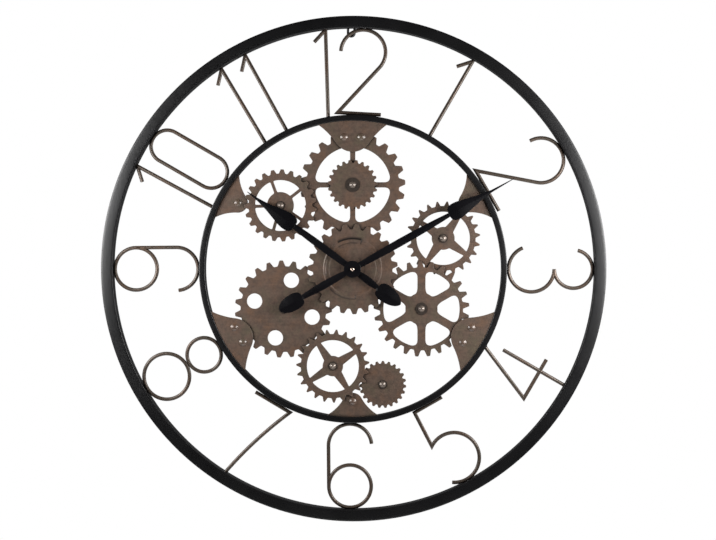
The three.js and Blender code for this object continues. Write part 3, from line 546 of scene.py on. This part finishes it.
for node, (hour, strokes) in numerals.items():
    bm = bmesh.new()
    for path, closed in strokes:
        sweepRod(bm, turnedPath(path, hour), rodLift, rodRadius + rods["coat"], closed)
    addPiece(node + "_rod", meshOf(node, bm, 40), "bronze_rod", "frame", node)


# Welds: one uneven drop where a numeral comes nearest to each ring
beads = {"Radius": 2.1, "Unevenness": 0.4}
welds = {"step": 2.0, "seed": 4}


def weldSpots(strokes, hour):
    walk = []
    for path, closed in strokes:
        points = turnedPath(path, hour)
        for here, there in zip(points, points[1:] + points[:1] if closed else points[1:]):
            steps = max(1, math.ceil((there - here).length / welds["step"]))
            walk += [here.lerp(there, i / steps) for i in range(steps + 1)]
    inner = min(walk, key=lambda p: p.length).normalized() * bandFoot
    outer = max(walk, key=lambda p: p.length).normalized() * bandTop
    return [(p.x, p.y, rodLift) for p in (inner, outer)]


def beadTree():
    tree, given, points = newTree("weldBeads", beads)
    ball = addNode(tree, "GeometryNodeMeshIcoSphere", {"Radius": 1.0, "Subdivisions": 3})
    limits = {"Seed": welds["seed"]}
    for socket, operation in enumerate(("SUBTRACT", "ADD")):
        reach = addNode(tree, "ShaderNodeMath", {0: given["Radius"], 1: given["Unevenness"]},
                        operation=operation)
        limits[socket] = addNode(tree, "ShaderNodeCombineXYZ", dict.fromkeys("XYZ", reach))
    size = addNode(tree, "FunctionNodeRandomValue", limits, data_type="FLOAT_VECTOR")
    drops = addNode(tree, "GeometryNodeInstanceOnPoints", {"Points": points, "Instance": ball, "Scale": size})
    closeTree(tree, drops, given["Finish"])
    return tree


spots = [spot for hour, strokes in numerals.values() for spot in weldSpots(strokes, hour)]
beadMesh = grownMesh("weld_beads", beadTree(), spots, {}, beads, finishes["black_steel"])
addPiece("weld_beads", beadMesh, "black_steel", "frame")

# Hanging loop: a bent wire inside the top of the outer ring
eye = {"wire": 3.5, "innerWidth": 5.5, "drop": 12.6}
eyeMiddle = middleOf("hanging_loop").x
eyeHalf = (eye["innerWidth"] + eye["wire"]) / 2
eyeBottom = bandTop - eye["drop"] + eye["wire"] / 2 + eyeHalf
eyePath = [at(eyeMiddle - eyeHalf, aboveTop)] + arc(eyeMiddle, eyeBottom, eyeHalf, 180, 360, 12)
eyePath.append(at(eyeMiddle + eyeHalf, aboveTop))
bm = bmesh.new()
sweepRod(bm, eyePath, sum(depthOf("hanging_loop")) / 2, eye["wire"] / 2)
addPiece("hanging_loop_wire", meshOf("hanging_loop", bm, 40), "black_steel", "frame", "hanging_loop")
print("rods:", len(numerals), "numerals and the hanging loop")


# Gear plates: stamped, with rounded teeth and spoke windows
blunt = dict(rootShare=0.74, tipShare=0.31)
middling = dict(rootShare=0.67, tipShare=0.26)
pointed = dict(rootShare=0.6, tipShare=0.14)
gears = {
    "centre_gear": dict(blunt, teeth=23, tip=62.6, root=55.2, phase=6.2, bore=8.6),
    "top_gear": dict(
        blunt, teeth=23, tip=73, root=64.5, phase=2.8,
        windows=dict(count=4, start=0, outer=52.7, hub=26, hubSpoke=7.3, rimSpoke=7.3, ease=9)),
    "top_pinion": dict(blunt, teeth=23, tip=34.5, root=30.6, phase=2.8),
    "upper_left_gear": dict(
        blunt, teeth=23, tip=50.1, root=44.3, phase=8.9,
        windows=dict(count=5, start=38, outer=35.2, hub=18.7, hubSpoke=4.3, rimSpoke=4.3, ease=2)),
    "upper_right_gear": dict(
        pointed, teeth=23, tip=51.3, root=44.9, phase=5.5,
        windows=dict(count=4, start=55, outer=36.8, hub=15.9, hubSpoke=13, rimSpoke=7, ease=1.2)),
    "right_gear": dict(
        middling, teeth=25, tip=66.4, root=57.6, phase=5.1,
        windows=dict(count=6, start=30, outer=52.7, hub=22.3, hubSpoke=11.2, rimSpoke=11.2, ease=9.5)),
    "left_gear": dict(
        middling, teeth=23, tip=67.6, root=59.6, phase=14.3,
        holes=dict(count=4, start=74.5, radius=10.6, orbit=41.5)),
    "bottom_gear": dict(
        pointed, teeth=23, tip=50.9, root=44.6, phase=5.8,
        windows=dict(count=4, start=33, outer=36, hub=14.2, hubSpoke=12, rimSpoke=7, ease=1.2)),
    "small_gear": dict(blunt, teeth=23, tip=32.7, root=29.1, phase=11.1),
}
plates = {"edge": 0.35, "tipRound": 0.09, "rootRound": 0.12, "bore": 4.6}


def toothLoop(gear):
    pitch = 360 / gear["teeth"]
    size = 2 * math.pi * gear["root"] / gear["teeth"]
    root = (gear["root"], gear["rootShare"] * pitch / 2, plates["rootRound"] * size)
    tip = (gear["tip"], gear["tipShare"] * pitch / 2, plates["tipRound"] * size)
    corners = []
    for i in range(gear["teeth"]):
        middle = gear["phase"] + i * pitch
        for (radius, half, ease), side in ((root, -1), (tip, -1), (tip, 1), (root, 1)):
            corners.append((polar(radius, middle + side * half), ease))
    return roundedLoop(corners)


# One opening between two spokes, its four corners eased along both edges
def spokeWindow(start, end, outer, hub, hubSpoke, rimSpoke, ease):
    hubTurn = math.degrees(math.asin(hubSpoke / 2 / hub))
    rimTurn = math.degrees(math.asin(rimSpoke / 2 / outer))
    rimEase = math.degrees(ease / outer)
    hubEase = min(math.degrees(ease / hub), (end - start - 2 * hubTurn) / 3)
    hubStart = polar(hub, start + hubTurn)
    hubEnd = polar(hub, end - hubTurn)
    rimStart = polar(outer, start + rimTurn)
    rimEnd = polar(outer, end - rimTurn)
    near = (rimStart - hubStart).normalized() * ease
    far = (rimEnd - hubEnd).normalized() * ease
    points = curveThrough(polar(hub, start + hubTurn + hubEase), hubStart, hubStart + near)
    points += curveThrough(rimStart - near, rimStart, polar(outer, start + rimTurn + rimEase))
    points += arc(0, 0, outer, start + rimTurn + rimEase, end - rimTurn - rimEase, 4)[1:-1]
    points += curveThrough(polar(outer, end - rimTurn - rimEase), rimEnd, rimEnd - far)
    points += curveThrough(hubEnd + far, hubEnd, polar(hub, end - hubTurn - hubEase))
    points += arc(0, 0, hub, end - hubTurn - hubEase, start + hubTurn + hubEase, 6)[1:-1]
    return points


def gearLoops(gear, place):
    loops = [toothLoop(gear), arc(0, 0, gear.get("bore", plates["bore"]) / 2, 0, 360, 15)[1:]]
    if "windows" in gear:
        sizes = dict(gear["windows"])
        count = sizes.pop("count")
        start = sizes.pop("start")
        for i in range(count):
            loops.append(spokeWindow(start + 360 * i / count, start + 360 * (i + 1) / count, **sizes))
    if "holes" in gear:
        holes = gear["holes"]
        for i in range(holes["count"]):
            middle = polar(holes["orbit"], holes["start"] + 360 * i / holes["count"])
            loops.append(arc(middle.x, middle.y, holes["radius"], 0, 360, 7.5)[1:])
    return [[point + place for point in loop] for loop in loops]


def gearPlace(node):
    if node == "centre_gear":
        return at(0, 0)
    return middleOf("top_gear_screw" if node == "top_pinion" else node + "_screw")


for node, gear in gears.items():
    mesh = stampedPlate(node, gearLoops(gear, gearPlace(node)), *depthOf(node), plates["edge"])
    addPiece(node + "_plate", mesh, "bronze_plate", "frame", node)
print("gear plates:", len(gears))


# Pressed relief on the centre gear: a raised band, higher on the left, that steps down at two ticks and is
# narrower below; angles run clockwise from the top
relief = {"bore": 17, "reach": 46, "bandInner": 36.4, "bandOuter": 43.2, "wall": 1.9, "high": 1.0,
          "low": 0.45, "narrowing": 2, "narrowFrom": 90, "narrowTo": 150, "topTick": 17, "bottomTick": 174.5,
          "tickWidth": 0.8, "disc": 33.2, "discWall": 1, "discHeight": 0.3, "lift": 0.01, "sink": 0.4}
reliefGrid = {"plainRadii": (24, 30), "fineFrom": 32, "fineStep": 0.35, "fineCount": 34, "turnStep": 2,
              "tickStep": 0.25, "tickCount": 5}


def slope(value, start, end):
    t = min(1, max(0, (value - start) / (end - start)))
    return t * t * (3 - 2 * t)


def reliefHeight(r, turn):
    wall = relief["wall"]
    fromTop = slope(turn, relief["topTick"], relief["topTick"] + relief["tickWidth"])
    fromBottom = slope(turn, relief["bottomTick"] - relief["tickWidth"], relief["bottomTick"])
    right = fromTop * (1 - fromBottom)
    band = relief["high"] + (relief["low"] - relief["high"]) * right
    below = 1 - slope(abs(turn - 180), relief["narrowFrom"], relief["narrowTo"])
    outer = relief["bandOuter"] - relief["narrowing"] * below
    rise = slope(r, relief["bandInner"], relief["bandInner"] + wall) * (1 - slope(r, outer - wall, outer))
    disc = relief["discHeight"] * (1 - slope(r, relief["disc"] - relief["discWall"], relief["disc"]))
    return band * rise + disc


# Painted shade along the walls of the relief: two arcs at the top and one below, and the ticks where the
# steps are
shadeBands = {"outer": dict(radius=42.4, half=1.35, start=-30, span=47, depth=1.0),
           "inner": dict(radius=36.2, half=0.8, start=-34, span=44, depth=0.6),
           "tick": dict(radius=39.5, half=3.6, start=15.8, span=2.4, depth=0.9),
           "lower": dict(radius=41.4, half=1.1, start=174.5, span=54, depth=0.5),
           "lowerTick": dict(radius=39.0, half=2.8, start=173.2, span=2.4, depth=0.8)}
shadeBandFade = {"sideFrom": 0.6, "sideTo": 1.4, "start": 0.8, "end": 0.4}


def paintedShadeDepth(r, turn):
    most = 0
    for shadeBand in shadeBands.values():
        span = shadeBand["span"]
        past = (turn - shadeBand["start"]) % 360
        aside = abs(r - shadeBand["radius"]) / shadeBand["half"]
        near = 1 - slope(aside, shadeBandFade["sideFrom"], shadeBandFade["sideTo"])
        ended = slope(past, span - shadeBandFade["end"], span + shadeBandFade["end"])
        most = max(most, shadeBand["depth"] * near * slope(past, 0, shadeBandFade["start"]) * (1 - ended))
    return most


radii = [reliefGrid["fineFrom"] + reliefGrid["fineStep"] * i for i in range(reliefGrid["fineCount"])]
radii = [relief["bore"], *reliefGrid["plainRadii"], *radii, relief["reach"]]
turns = list(range(0, 360, reliefGrid["turnStep"]))
tickSpan = reliefGrid["tickStep"] * (reliefGrid["tickCount"] - 1)
for tick in (relief["topTick"], relief["bottomTick"] - tickSpan):
    turns += [tick + reliefGrid["tickStep"] * i for i in range(reliefGrid["tickCount"])]
front = depthOf("centre_gear")[1]
foot = front - relief["sink"]
bm = bmesh.new()
rows = []
for turn in sorted(turns):
    spin = polar(1, 90 - turn)
    section = [(r, front + relief["lift"] + reliefHeight(r, turn)) for r in radii]
    section = [(radii[0], foot)] + section + [(radii[-1], foot)]
    rows.append([bm.verts.new((r * spin.x, r * spin.y, z)) for r, z in section])
joinRows(bm, rows, True, True)
reliefMesh = meshOf("centre_gear_relief", bm, 60)
# Painted shade: each point of the relief carries how dark it is painted
paintedShadeLayer = reliefMesh.attributes.new("darkening", "FLOAT", "POINT")
for vertex, mark in zip(reliefMesh.vertices, paintedShadeLayer.data):
    turn = 90 - math.degrees(math.atan2(vertex.co.y, vertex.co.x))
    mark.value = paintedShadeDepth(vertex.co.xy.length, turn)
addPiece("centre_gear_relief", reliefMesh, "bronze_plate", "frame")
print("centre relief added")


# Brackets: a foot along the inner ring, two flares and a round nose
brackets = {
    "wide": dict(halfWidth=48, nose=27.5, flare=103, rivets=((-12, 183), (12, 183))),
    "narrow": dict(halfWidth=35.5, nose=14, flare=60, rivets=((0, 184),)),
}
bracketHours = {12: "wide", 4: "wide", 8: "wide", 2: "narrow", 6: "narrow", 10: "narrow"}
extraLap = {6: 2.5}  # how much further a nose reaches behind its gear


def bracketLoop(tip, halfWidth, nose, flare):
    foot = ringInside + rods["sink"]
    footTurn = math.degrees(math.asin(halfWidth / foot))
    corner = polar(foot, 90 - footTurn)
    middle = at(0, tip + nose)
    span = corner - middle
    reach = nose + flare
    lean = math.acos((reach ** 2 - flare ** 2 + span.length_squared) / (2 * span.length * reach))
    flareTurn = math.degrees(math.atan2(span.y, span.x) - lean)
    flareMiddle = middle + polar(reach, flareTurn)
    toCorner = corner - flareMiddle
    cornerTurn = math.degrees(math.atan2(toCorner.y, toCorner.x)) % 360
    right = arc(flareMiddle.x, flareMiddle.y, flare, flareTurn + 180, cornerTurn, 2)
    below = arc(middle.x, middle.y, nose, 180 - flareTurn, 360 + flareTurn, 4)
    top = arc(0, 0, foot, 90 - footTurn, 90 + footTurn, 2)
    left = [at(-p.x, p.y) for p in reversed(right)]
    return below[:-1] + right[:-1] + top[:-1] + left[:-1]


rivetPoints = []
rivetGrips = []
for hour, kind in bracketHours.items():
    node = f"bracket_{hour}"
    sizes = dict(brackets[kind])
    rivets = sizes.pop("rivets")
    outward = polar(1, 90 - 30 * hour)
    tip = min(p.xy.dot(outward) for p in dialPoints(node)) - extraLap.get(hour, 0)
    outline = turnedPath(bracketLoop(tip, **sizes), hour)
    back, front = depthOf(node)
    mesh = stampedPlate(node, [outline], back, front, plates["edge"])
    addPiece(node + "_plate", mesh, "bronze_plate", "frame", node)
    for place in turnedPath([at(*spot) for spot in rivets], hour):
        rivetPoints.append((place.x, place.y, front))
        rivetGrips.append(front - back)
print("brackets:", len(bracketHours), "rivets:", len(rivetPoints))


# Fasteners: a domed head on every point, its washer and its clenched tail; a rivet's head hides its washer
screwSizes = {"Head radius": 4.6, "Head height": 3.2, "Washer thickness": 0.8, "Washer darkening": 0.7,
              "Tail radius": 3.3, "Tail height": 1.2}
rivetSizes = dict(screwSizes, **{"Head radius": 5.2, "Head height": 2.5, "Washer thickness": 0.05})
rivetWasher = 3.0


# Copies of a unit shape on all points, lifted along z and scaled
def copiesOn(tree, points, shape, lift, width, height):
    offset = addNode(tree, "ShaderNodeCombineXYZ", {"Z": lift})
    size = addNode(tree, "ShaderNodeCombineXYZ", {"X": width, "Y": width, "Z": height})
    lifted = addNode(tree, "GeometryNodeSetPosition", {"Geometry": points, "Offset": offset})
    return addNode(tree, "GeometryNodeInstanceOnPoints", {"Points": lifted, "Instance": shape, "Scale": size})


# The heads are lenses: a ball whose heights are squared, so that its rim is an edge and not a wall
def fastenerTree():
    tree, given, points = newTree("domedFasteners", screwSizes)
    washer = addNode(tree, "GeometryNodeInputNamedAttribute", {"Name": "washer"}, data_type="FLOAT")
    grip = addNode(tree, "GeometryNodeInputNamedAttribute", {"Name": "grip"}, data_type="FLOAT")
    ball = addNode(tree, "GeometryNodeMeshUVSphere", {"Segments": 32, "Rings": 16, "Radius": 1.0})
    place = addNode(tree, "GeometryNodeInputPosition")
    size = addNode(tree, "ShaderNodeVectorMath", {0: place}, operation="ABSOLUTE")
    squared = addNode(tree, "ShaderNodeVectorMath", {0: place, 1: size}, operation="MULTIPLY")
    rise = addNode(tree, "ShaderNodeVectorMath", {0: squared, 1: (0, 0, 1)}, operation="MULTIPLY")
    form = addNode(tree, "ShaderNodeVectorMath", {0: place, 1: (1, 1, 0), 2: rise}, operation="MULTIPLY_ADD")
    lens = addNode(tree, "GeometryNodeSetPosition", {"Geometry": ball, "Position": form})
    disc = addNode(tree, "GeometryNodeMeshCylinder", {"Vertices": 40, "Radius": 1.0, "Depth": 1.0})
    # The washers are darkened: the finish mixes them part way to its dark colour
    darkenedWashers = addNode(tree, "GeometryNodeStoreNamedAttribute",
                     {"Geometry": disc, "Name": "darkening", "Value": given["Washer darkening"]}, data_type="FLOAT")
    thickness = given["Washer thickness"]
    middle = addNode(tree, "ShaderNodeMath", {0: thickness, 1: 0.5}, operation="MULTIPLY")
    drop = addNode(tree, "ShaderNodeMath", {0: grip, 1: -1.0}, operation="MULTIPLY")
    heads = copiesOn(tree, points, lens, thickness, given["Head radius"], given["Head height"])
    washers = copiesOn(tree, points, darkenedWashers, middle, washer, thickness)
    tails = copiesOn(tree, points, lens, drop, given["Tail radius"], given["Tail height"])
    joined = addNode(tree, "GeometryNodeJoinGeometry")
    for copies in (heads, washers, tails):
        setInputs(tree, joined, {0: copies})
    closeTree(tree, joined, given["Finish"])
    return tree


# Each point is a seat on the front, with the washer's radius there and the grip back to the tail
fastenerNodes = fastenerTree()
screws = [node for node in nodes if node.endswith("_screw")]
screwPoints = []
washerRadii = []
screwGrips = []
for node in screws:
    place = middleOf(node)
    back, front = depthOf(node)
    seat = front - screwSizes["Head height"] - screwSizes["Washer thickness"]
    screwPoints.append((place.x, place.y, seat))
    washerRadii.append(max((p.xy - place).length for p in dialPoints(node)))
    screwGrips.append(seat - back - screwSizes["Tail height"])
seats = {"washer": washerRadii, "grip": screwGrips}
screwMesh = grownMesh("gear_screws", fastenerNodes, screwPoints, seats, screwSizes, finishes["screw_steel"])
addPiece("gear_screws", screwMesh, "screw_steel", "frame", *screws)

# The rivets are smoother than the plates and lacquered, and get no painted corner shade
rivetFinish = antiqueBronze("antiqueBronzeRivet", plateTones, 0.15, 0.4, 0.05, lacquer=0.5, shadeStrength=0.0)
seats = {"washer": [rivetWasher] * len(rivetPoints), "grip": rivetGrips}
rivetMesh = grownMesh("bracket_rivets", fastenerNodes, rivetPoints, seats, rivetSizes, rivetFinish)
addPiece("bracket_rivets", rivetMesh, "bronze_plate", "frame", finish=rivetFinish)
print("fasteners:", len(screws), "screws,", len(rivetPoints), "rivets")


# Hands: sheet folded along the middle, with a round boss
hands = {
    "minute_hand": dict(angle=60.7, tail=116, tailBase=79, tailWide=93, tailHalf=11.5, tailNeck=3.2,
                        tailBulge=7.0, shaft=3.8, bulge=7.4, spadeNeck=2.9, spadeBase=153, spadeWide=164,
                        spadeHalf=11.8, needle=221, tip=255),
    "hour_hand": dict(angle=306.3, tail=82.5, tailBase=43.5, tailWide=56, tailHalf=12, tailNeck=3.2,
                      tailBulge=6.8, shaft=4, bulge=6.35, spadeNeck=3.7, spadeBase=99.6, spadeWide=112,
                      spadeHalf=12.1, needle=166.5, tip=180.5),
}
handForm = {"sheet": 0.7, "slope": 0.18, "climb": 0.12, "hub": 23.4, "hubHeight": 1.6, "hubEdge": 0.12,
            "hubSegments": 64, "tipHalf": 0.4, "needleHalf": 1.6, "needleLead": 28, "needleFlare": 4.1,
            "tailLead": 3, "tailFlare": 8, "leafLead": 12, "ridge": 0.25, "steps": 18}


def bezier(a, b, c, d, count):
    points = []
    for i in range(1, count + 1):
        t = i / count
        s = 1 - t
        points.append(a * s ** 3 + b * (3 * s * s * t) + c * (3 * s * t * t) + d * t ** 3)
    return points


# Half the outline, from the tail to the tip: both shafts swell between the hub and the leaf
def handOutline(tail, tailBase, tailWide, tailHalf, tailNeck, tailBulge, shaft, bulge, spadeNeck, spadeBase,
                spadeWide, spadeHalf, needle, tip):
    n = handForm["steps"]
    hub = handForm["hub"] / 2
    lead = handForm["leafLead"]
    start = at(-tail, handForm["tipHalf"])
    leaf = at(-tailWide, tailHalf)
    spade = at(spadeWide, spadeHalf)
    points = [start] + bezier(start, at(handForm["tailLead"] - tail, handForm["tailFlare"]),
                              at(-tailWide - lead, tailHalf), leaf, n)
    points += curveThrough(leaf, at(-tailBase, tailHalf), at(-tailBase, tailNeck), n)[1:]
    points += curveThrough(points[-1], at(-(tailBase + hub) / 2, tailBulge), at(-hub, shaft), n)[1:]
    points += curveThrough(at(hub, shaft), at((spadeBase + hub) / 2, bulge), at(spadeBase, spadeNeck), n)
    points += curveThrough(points[-1], at(spadeBase, spadeHalf), spade, n)[1:]
    points += bezier(spade, at(spadeWide + lead, spadeHalf),
                     at(needle - handForm["needleLead"], handForm["needleFlare"]),
                     at(needle, handForm["needleHalf"]), n)
    return points + [at(tip, handForm["tipHalf"])]


# The fold rises with the width, and climbs gently into the leaf and the spade
def foldHeights(outline):
    rise = handForm["slope"]
    climb = handForm["climb"]
    return [min(p.y * rise + abs(p.x - q.x) * climb for p in outline) for q in outline]


def handSection(x, half, rise, back):
    sheet = handForm["sheet"]
    flat = min(handForm["ridge"], half / 2)
    eased = rise * (1 - flat / half / 2)
    top = [(half, 0), (flat, eased), (-flat, eased), (-half, 0)]
    under = [(-half, 0), (0, rise), (half, 0)]
    return [Vector((x, y, back + sheet + z)) for y, z in top] + [Vector((x, y, back + z)) for y, z in under]


for node, hand in hands.items():
    back = depthOf(node)[0]
    sizes = dict(hand)
    turn = Matrix.Rotation(math.radians(90 - sizes.pop("angle")), 3, "Z")
    bm = bmesh.new()
    rows = []
    outline = handOutline(**sizes)
    for point, rise in zip(outline, foldHeights(outline)):
        rows.append([bm.verts.new(turn @ corner) for corner in handSection(point.x, point.y, rise, back)])
    joinRows(bm, rows, False, True)
    bm.faces.new(rows[0])
    bm.faces.new(reversed(rows[-1]))
    boss = discProfile(radiiOf(node)[0], handForm["hub"] / 2, back, back + handForm["hubHeight"],
                       handForm["hubEdge"])
    turnedInto(bm, boss, handForm["hubSegments"], closed=True)
    addPiece(node + "_blade", meshOf(node, bm, 12), "hand_black", node.split("_")[0], node)
print("hands:", len(hands))


# Moulded and pressed pieces of the movement: the solids themselves with eased edges
easedNodes = {
    "movement_case": (0.6, "frame", "black_plastic"), "movement_cover": (0.4, "frame", "black_plastic"),
    "setting_knob": (0.15, "setting", "black_plastic"), "fixing_nut": (0.25, "frame", "brass"),
    "battery_contact_plus": (0.12, "frame", "zinc_steel"),
    "battery_contact_minus": (0.12, "frame", "zinc_steel"),
}


def easedCopy(node, width):
    bm = bmesh.new()
    bm.from_mesh(nodes[node].data)
    bmesh.ops.remove_doubles(bm, verts=bm.verts, dist=1e-6)
    bmesh.ops.dissolve_limit(bm, angle_limit=math.radians(1), verts=bm.verts, edges=bm.edges)
    mesh = bpy.data.meshes.new(node)
    bm.to_mesh(mesh)
    bm.free()
    holder = bpy.data.objects.new(node + "_eased", mesh)
    bevel = holder.modifiers.new("edges", "BEVEL")
    bevel.width = width * mm
    bevel.segments = 2
    bevel.limit_method = "ANGLE"
    bevel.angle_limit = math.radians(40)
    eased = evaluatedMesh(holder)
    smoothEdges(eased, 30)
    return eased


for node, (width, body, slot) in easedNodes.items():
    placePiece(node + "_eased", easedCopy(node, width), slot, body, node)

# Hand nut: a straight side and a domed top, polished and so paler than the turned pieces
nut = {"radius": 2.7, "side": 1.75, "steps": 6, "segments": 48}
back, front = depthOf("hand_nut")
crown = front - back - nut["side"]
nutProfile = [(0, back), (nut["radius"], back)]
for i in range(nut["steps"] + 1):
    lean = math.pi / 2 * i / nut["steps"]
    nutProfile.append((nut["radius"] * math.cos(lean), back + nut["side"] + crown * math.sin(lean)))
nutMesh = turnedMesh("hand_nut", nutProfile, nut["segments"])
polishedBrass = bareMetal("polishedBrass", "#d8c2b2", 0.22, 0.8)
addPiece("hand_nut_cap", nutMesh, "brass", "minute", "hand_nut", finish=polishedBrass)

# Fixing washer: its front edge is eased
fixingWasher = {"edge": 0.2, "segments": 64}
washerProfile = discProfile(*radiiOf("fixing_washer"), *depthOf("fixing_washer"), fixingWasher["edge"])
washerMesh = turnedMesh("fixing_washer", washerProfile, fixingWasher["segments"], closed=True)
addPiece("fixing_washer_ring", washerMesh, "zinc_steel", "frame", "fixing_washer")

# The cell lies along x, so it is turned about z and then laid down
cell = {"radius": 7.1, "nub": 2.75, "nubLength": 1.3, "ease": 0.6, "nubEase": 0.3, "segments": 48}
low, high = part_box("battery")
half = (high.x - low.x) / 2 / mm
shoulder = half - cell["nubLength"]
waist = cell["radius"] - cell["ease"]
cellProfile = [(0, -half), (waist, -half), (cell["radius"], -half + cell["ease"]),
               (cell["radius"], shoulder - cell["ease"]), (waist, shoulder), (cell["nub"], shoulder),
               (cell["nub"], half - cell["nubEase"]), (cell["nub"] - cell["nubEase"], half), (0, half)]
cellMesh = turnedMesh("battery", cellProfile, cell["segments"])
laid = Matrix.Translation((low + high) / 2) @ Matrix.Rotation(math.pi / 2, 4, "Y") @ Matrix.Scale(mm, 4)
cellMesh.transform(laid)
placePiece("battery_cell", cellMesh, "cell_wrap", "frame", "battery")

# The rest of the movement keeps its solids and gets its finishes
slots = {part["node"]: part["material_slot"] for part in frame["record"]["subparts"]}
plain = ("minute_arbor", "hour_wheel", "reverser_wheel", "threaded_bushing", "circuit_board", "drive_coil")
for node in plain:
    for holder in nodes[node].material_slots:
        holder.material = finishes[slots[node]]
print("movement dressed")


# Stage: a pale floor well below the clock, and a white studio
stage = {"floorDrop": 1.3, "floorSize": 2.2, "white": "#ffffff", "floor": "#e9e9ea", "glow": 0.75}

bm = bmesh.new()
bmesh.ops.create_circle(bm, cap_ends=True, segments=96, radius=stage["floorSize"])
floorMesh = bpy.data.meshes.new("floor")
bm.to_mesh(floorMesh)
bm.free()
floorMesh.transform(Matrix.Translation((arbor.x, 0, ringLow.z - stage["floorDrop"])))
floor = bpy.data.objects.new("floor", floorMesh)
scene.collection.objects.link(floor)

# White paper: it glows to the eye and in what shines, and lights nothing
paper = bpy.data.materials.new("whitePaperFloor")
paper.use_nodes = True
tree = paper.node_tree
tree.nodes.clear()
path = addNode(tree, "ShaderNodeLightPath").outputs
seen = path["Is Camera Ray"]
for ray in ("Is Glossy Ray", "Is Transmission Ray"):
    seen = addNode(tree, "ShaderNodeMath", {0: seen, 1: path[ray]}, operation="MAXIMUM")
strength = addNode(tree, "ShaderNodeMath", {0: seen, 1: stage["glow"]}, operation="MULTIPLY")
matt = addNode(tree, "ShaderNodeBsdfDiffuse", {"Color": linear(stage["floor"])})
glow = addNode(tree, "ShaderNodeEmission", {"Color": linear(stage["white"]), "Strength": strength})
lit = addNode(tree, "ShaderNodeAddShader", {0: matt, 1: glow})
addNode(tree, "ShaderNodeOutputMaterial", {"Surface": lit})
floorMesh.materials.append(paper)

# White to the eye all round; what shines sees a dim backdrop behind the clock and a dark room in front, and
# the fill is stronger from behind, so that the back isn't a silhouette
room = {"front": 0.02, "above": 0.03, "backdrop": 0.1, "edge": (-0.05, 0.35), "overhead": (0.15, 0.6),
        "fill": 0.18, "backFill": 0.7}
world = bpy.data.worlds.new("studio")
world.use_nodes = True
scene.world = world
tree = world.node_tree
tree.nodes.clear()
path = addNode(tree, "ShaderNodeLightPath").outputs
direction = addNode(tree, "ShaderNodeTexCoord").outputs["Generated"]
facing = addNode(tree, "ShaderNodeSeparateXYZ", {"Vector": direction}).outputs
behind = {"Value": facing["Y"], "From Min": room["edge"][0], "From Max": room["edge"][1]}
backdrop = addNode(tree, "ShaderNodeMapRange",
                   {**behind, "To Min": room["front"], "To Max": room["backdrop"]})
fill = addNode(tree, "ShaderNodeMapRange", {**behind, "To Min": room["fill"], "To Max": room["backFill"]})
above = {"Value": facing["Z"], "From Min": room["overhead"][0], "From Max": room["overhead"][1]}
overhead = addNode(tree, "ShaderNodeMapRange", {**above, "To Min": 0.0, "To Max": room["above"]})
shine = addNode(tree, "ShaderNodeMath", {0: backdrop, 1: overhead})
level = addNode(tree, "ShaderNodeMix", {0: path["Is Glossy Ray"], 2: fill, 3: shine})
direct = addNode(tree, "ShaderNodeMath", {0: path["Is Camera Ray"], 1: path["Is Transmission Ray"]},
                 operation="MAXIMUM")
strength = addNode(tree, "ShaderNodeMath", {0: level, 1: direct}, operation="MAXIMUM")
white = addNode(tree, "ShaderNodeBackground", {"Color": linear(stage["white"]), "Strength": strength})
addNode(tree, "ShaderNodeOutputWorld", {"Surface": white})

# Two softboxes close by the sides, so that left and right are brighter than top and bottom, and a weak one
# low down
softboxes = {
    "leftSoftbox": dict(place=(-0.6, -0.3, 0.11), size=(0.5, 0.3), power=6.2),
    "rightSoftbox": dict(place=(0.6, -0.3, 0.1), size=(0.5, 0.3), power=8.4),
    "lowSoftbox": dict(place=(0.0, -0.45, -0.75), size=(0.8, 0.3), power=0.9),
}
for name, box in softboxes.items():
    lamp = bpy.data.lights.new(name, "AREA")
    lamp.shape = "RECTANGLE"
    lamp.size, lamp.size_y = box["size"]
    lamp.energy = box["power"]
    holder = bpy.data.objects.new(name, lamp)
    holder.location = arbor + Vector(box["place"])
    holder.rotation_euler = (arbor - holder.location).to_track_quat("-Z", "Y").to_euler()
    scene.collection.objects.link(holder)

# Camera: square on, a touch from the right and above
view = {"azimuth": 2.0, "elevation": 1.0, "distance": 2.8, "ringPixels": 506, "imageWidth": 716,
        "aim": (0.0075, 0.0, -0.0012)}
camera = bpy.data.objects.new("camera", bpy.data.cameras.new("camera"))
turn = math.radians(view["azimuth"])
rise = math.radians(view["elevation"])
away = Vector((math.sin(turn) * math.cos(rise), -math.cos(turn) * math.cos(rise), math.sin(rise)))
aim = arbor + Vector((0, ringLow.y, 0)) + Vector(view["aim"])
camera.location = aim + away * view["distance"]
camera.rotation_euler = (-away).to_track_quat("-Z", "Y").to_euler()
focalPixels = view["ringPixels"] * view["distance"] / (ringHigh.x - ringLow.x)
camera.data.lens = focalPixels * camera.data.sensor_width / view["imageWidth"]
scene.collection.objects.link(camera)
scene.camera = camera
scene.view_settings.view_transform = "Standard"
print("stage, lights and camera set")
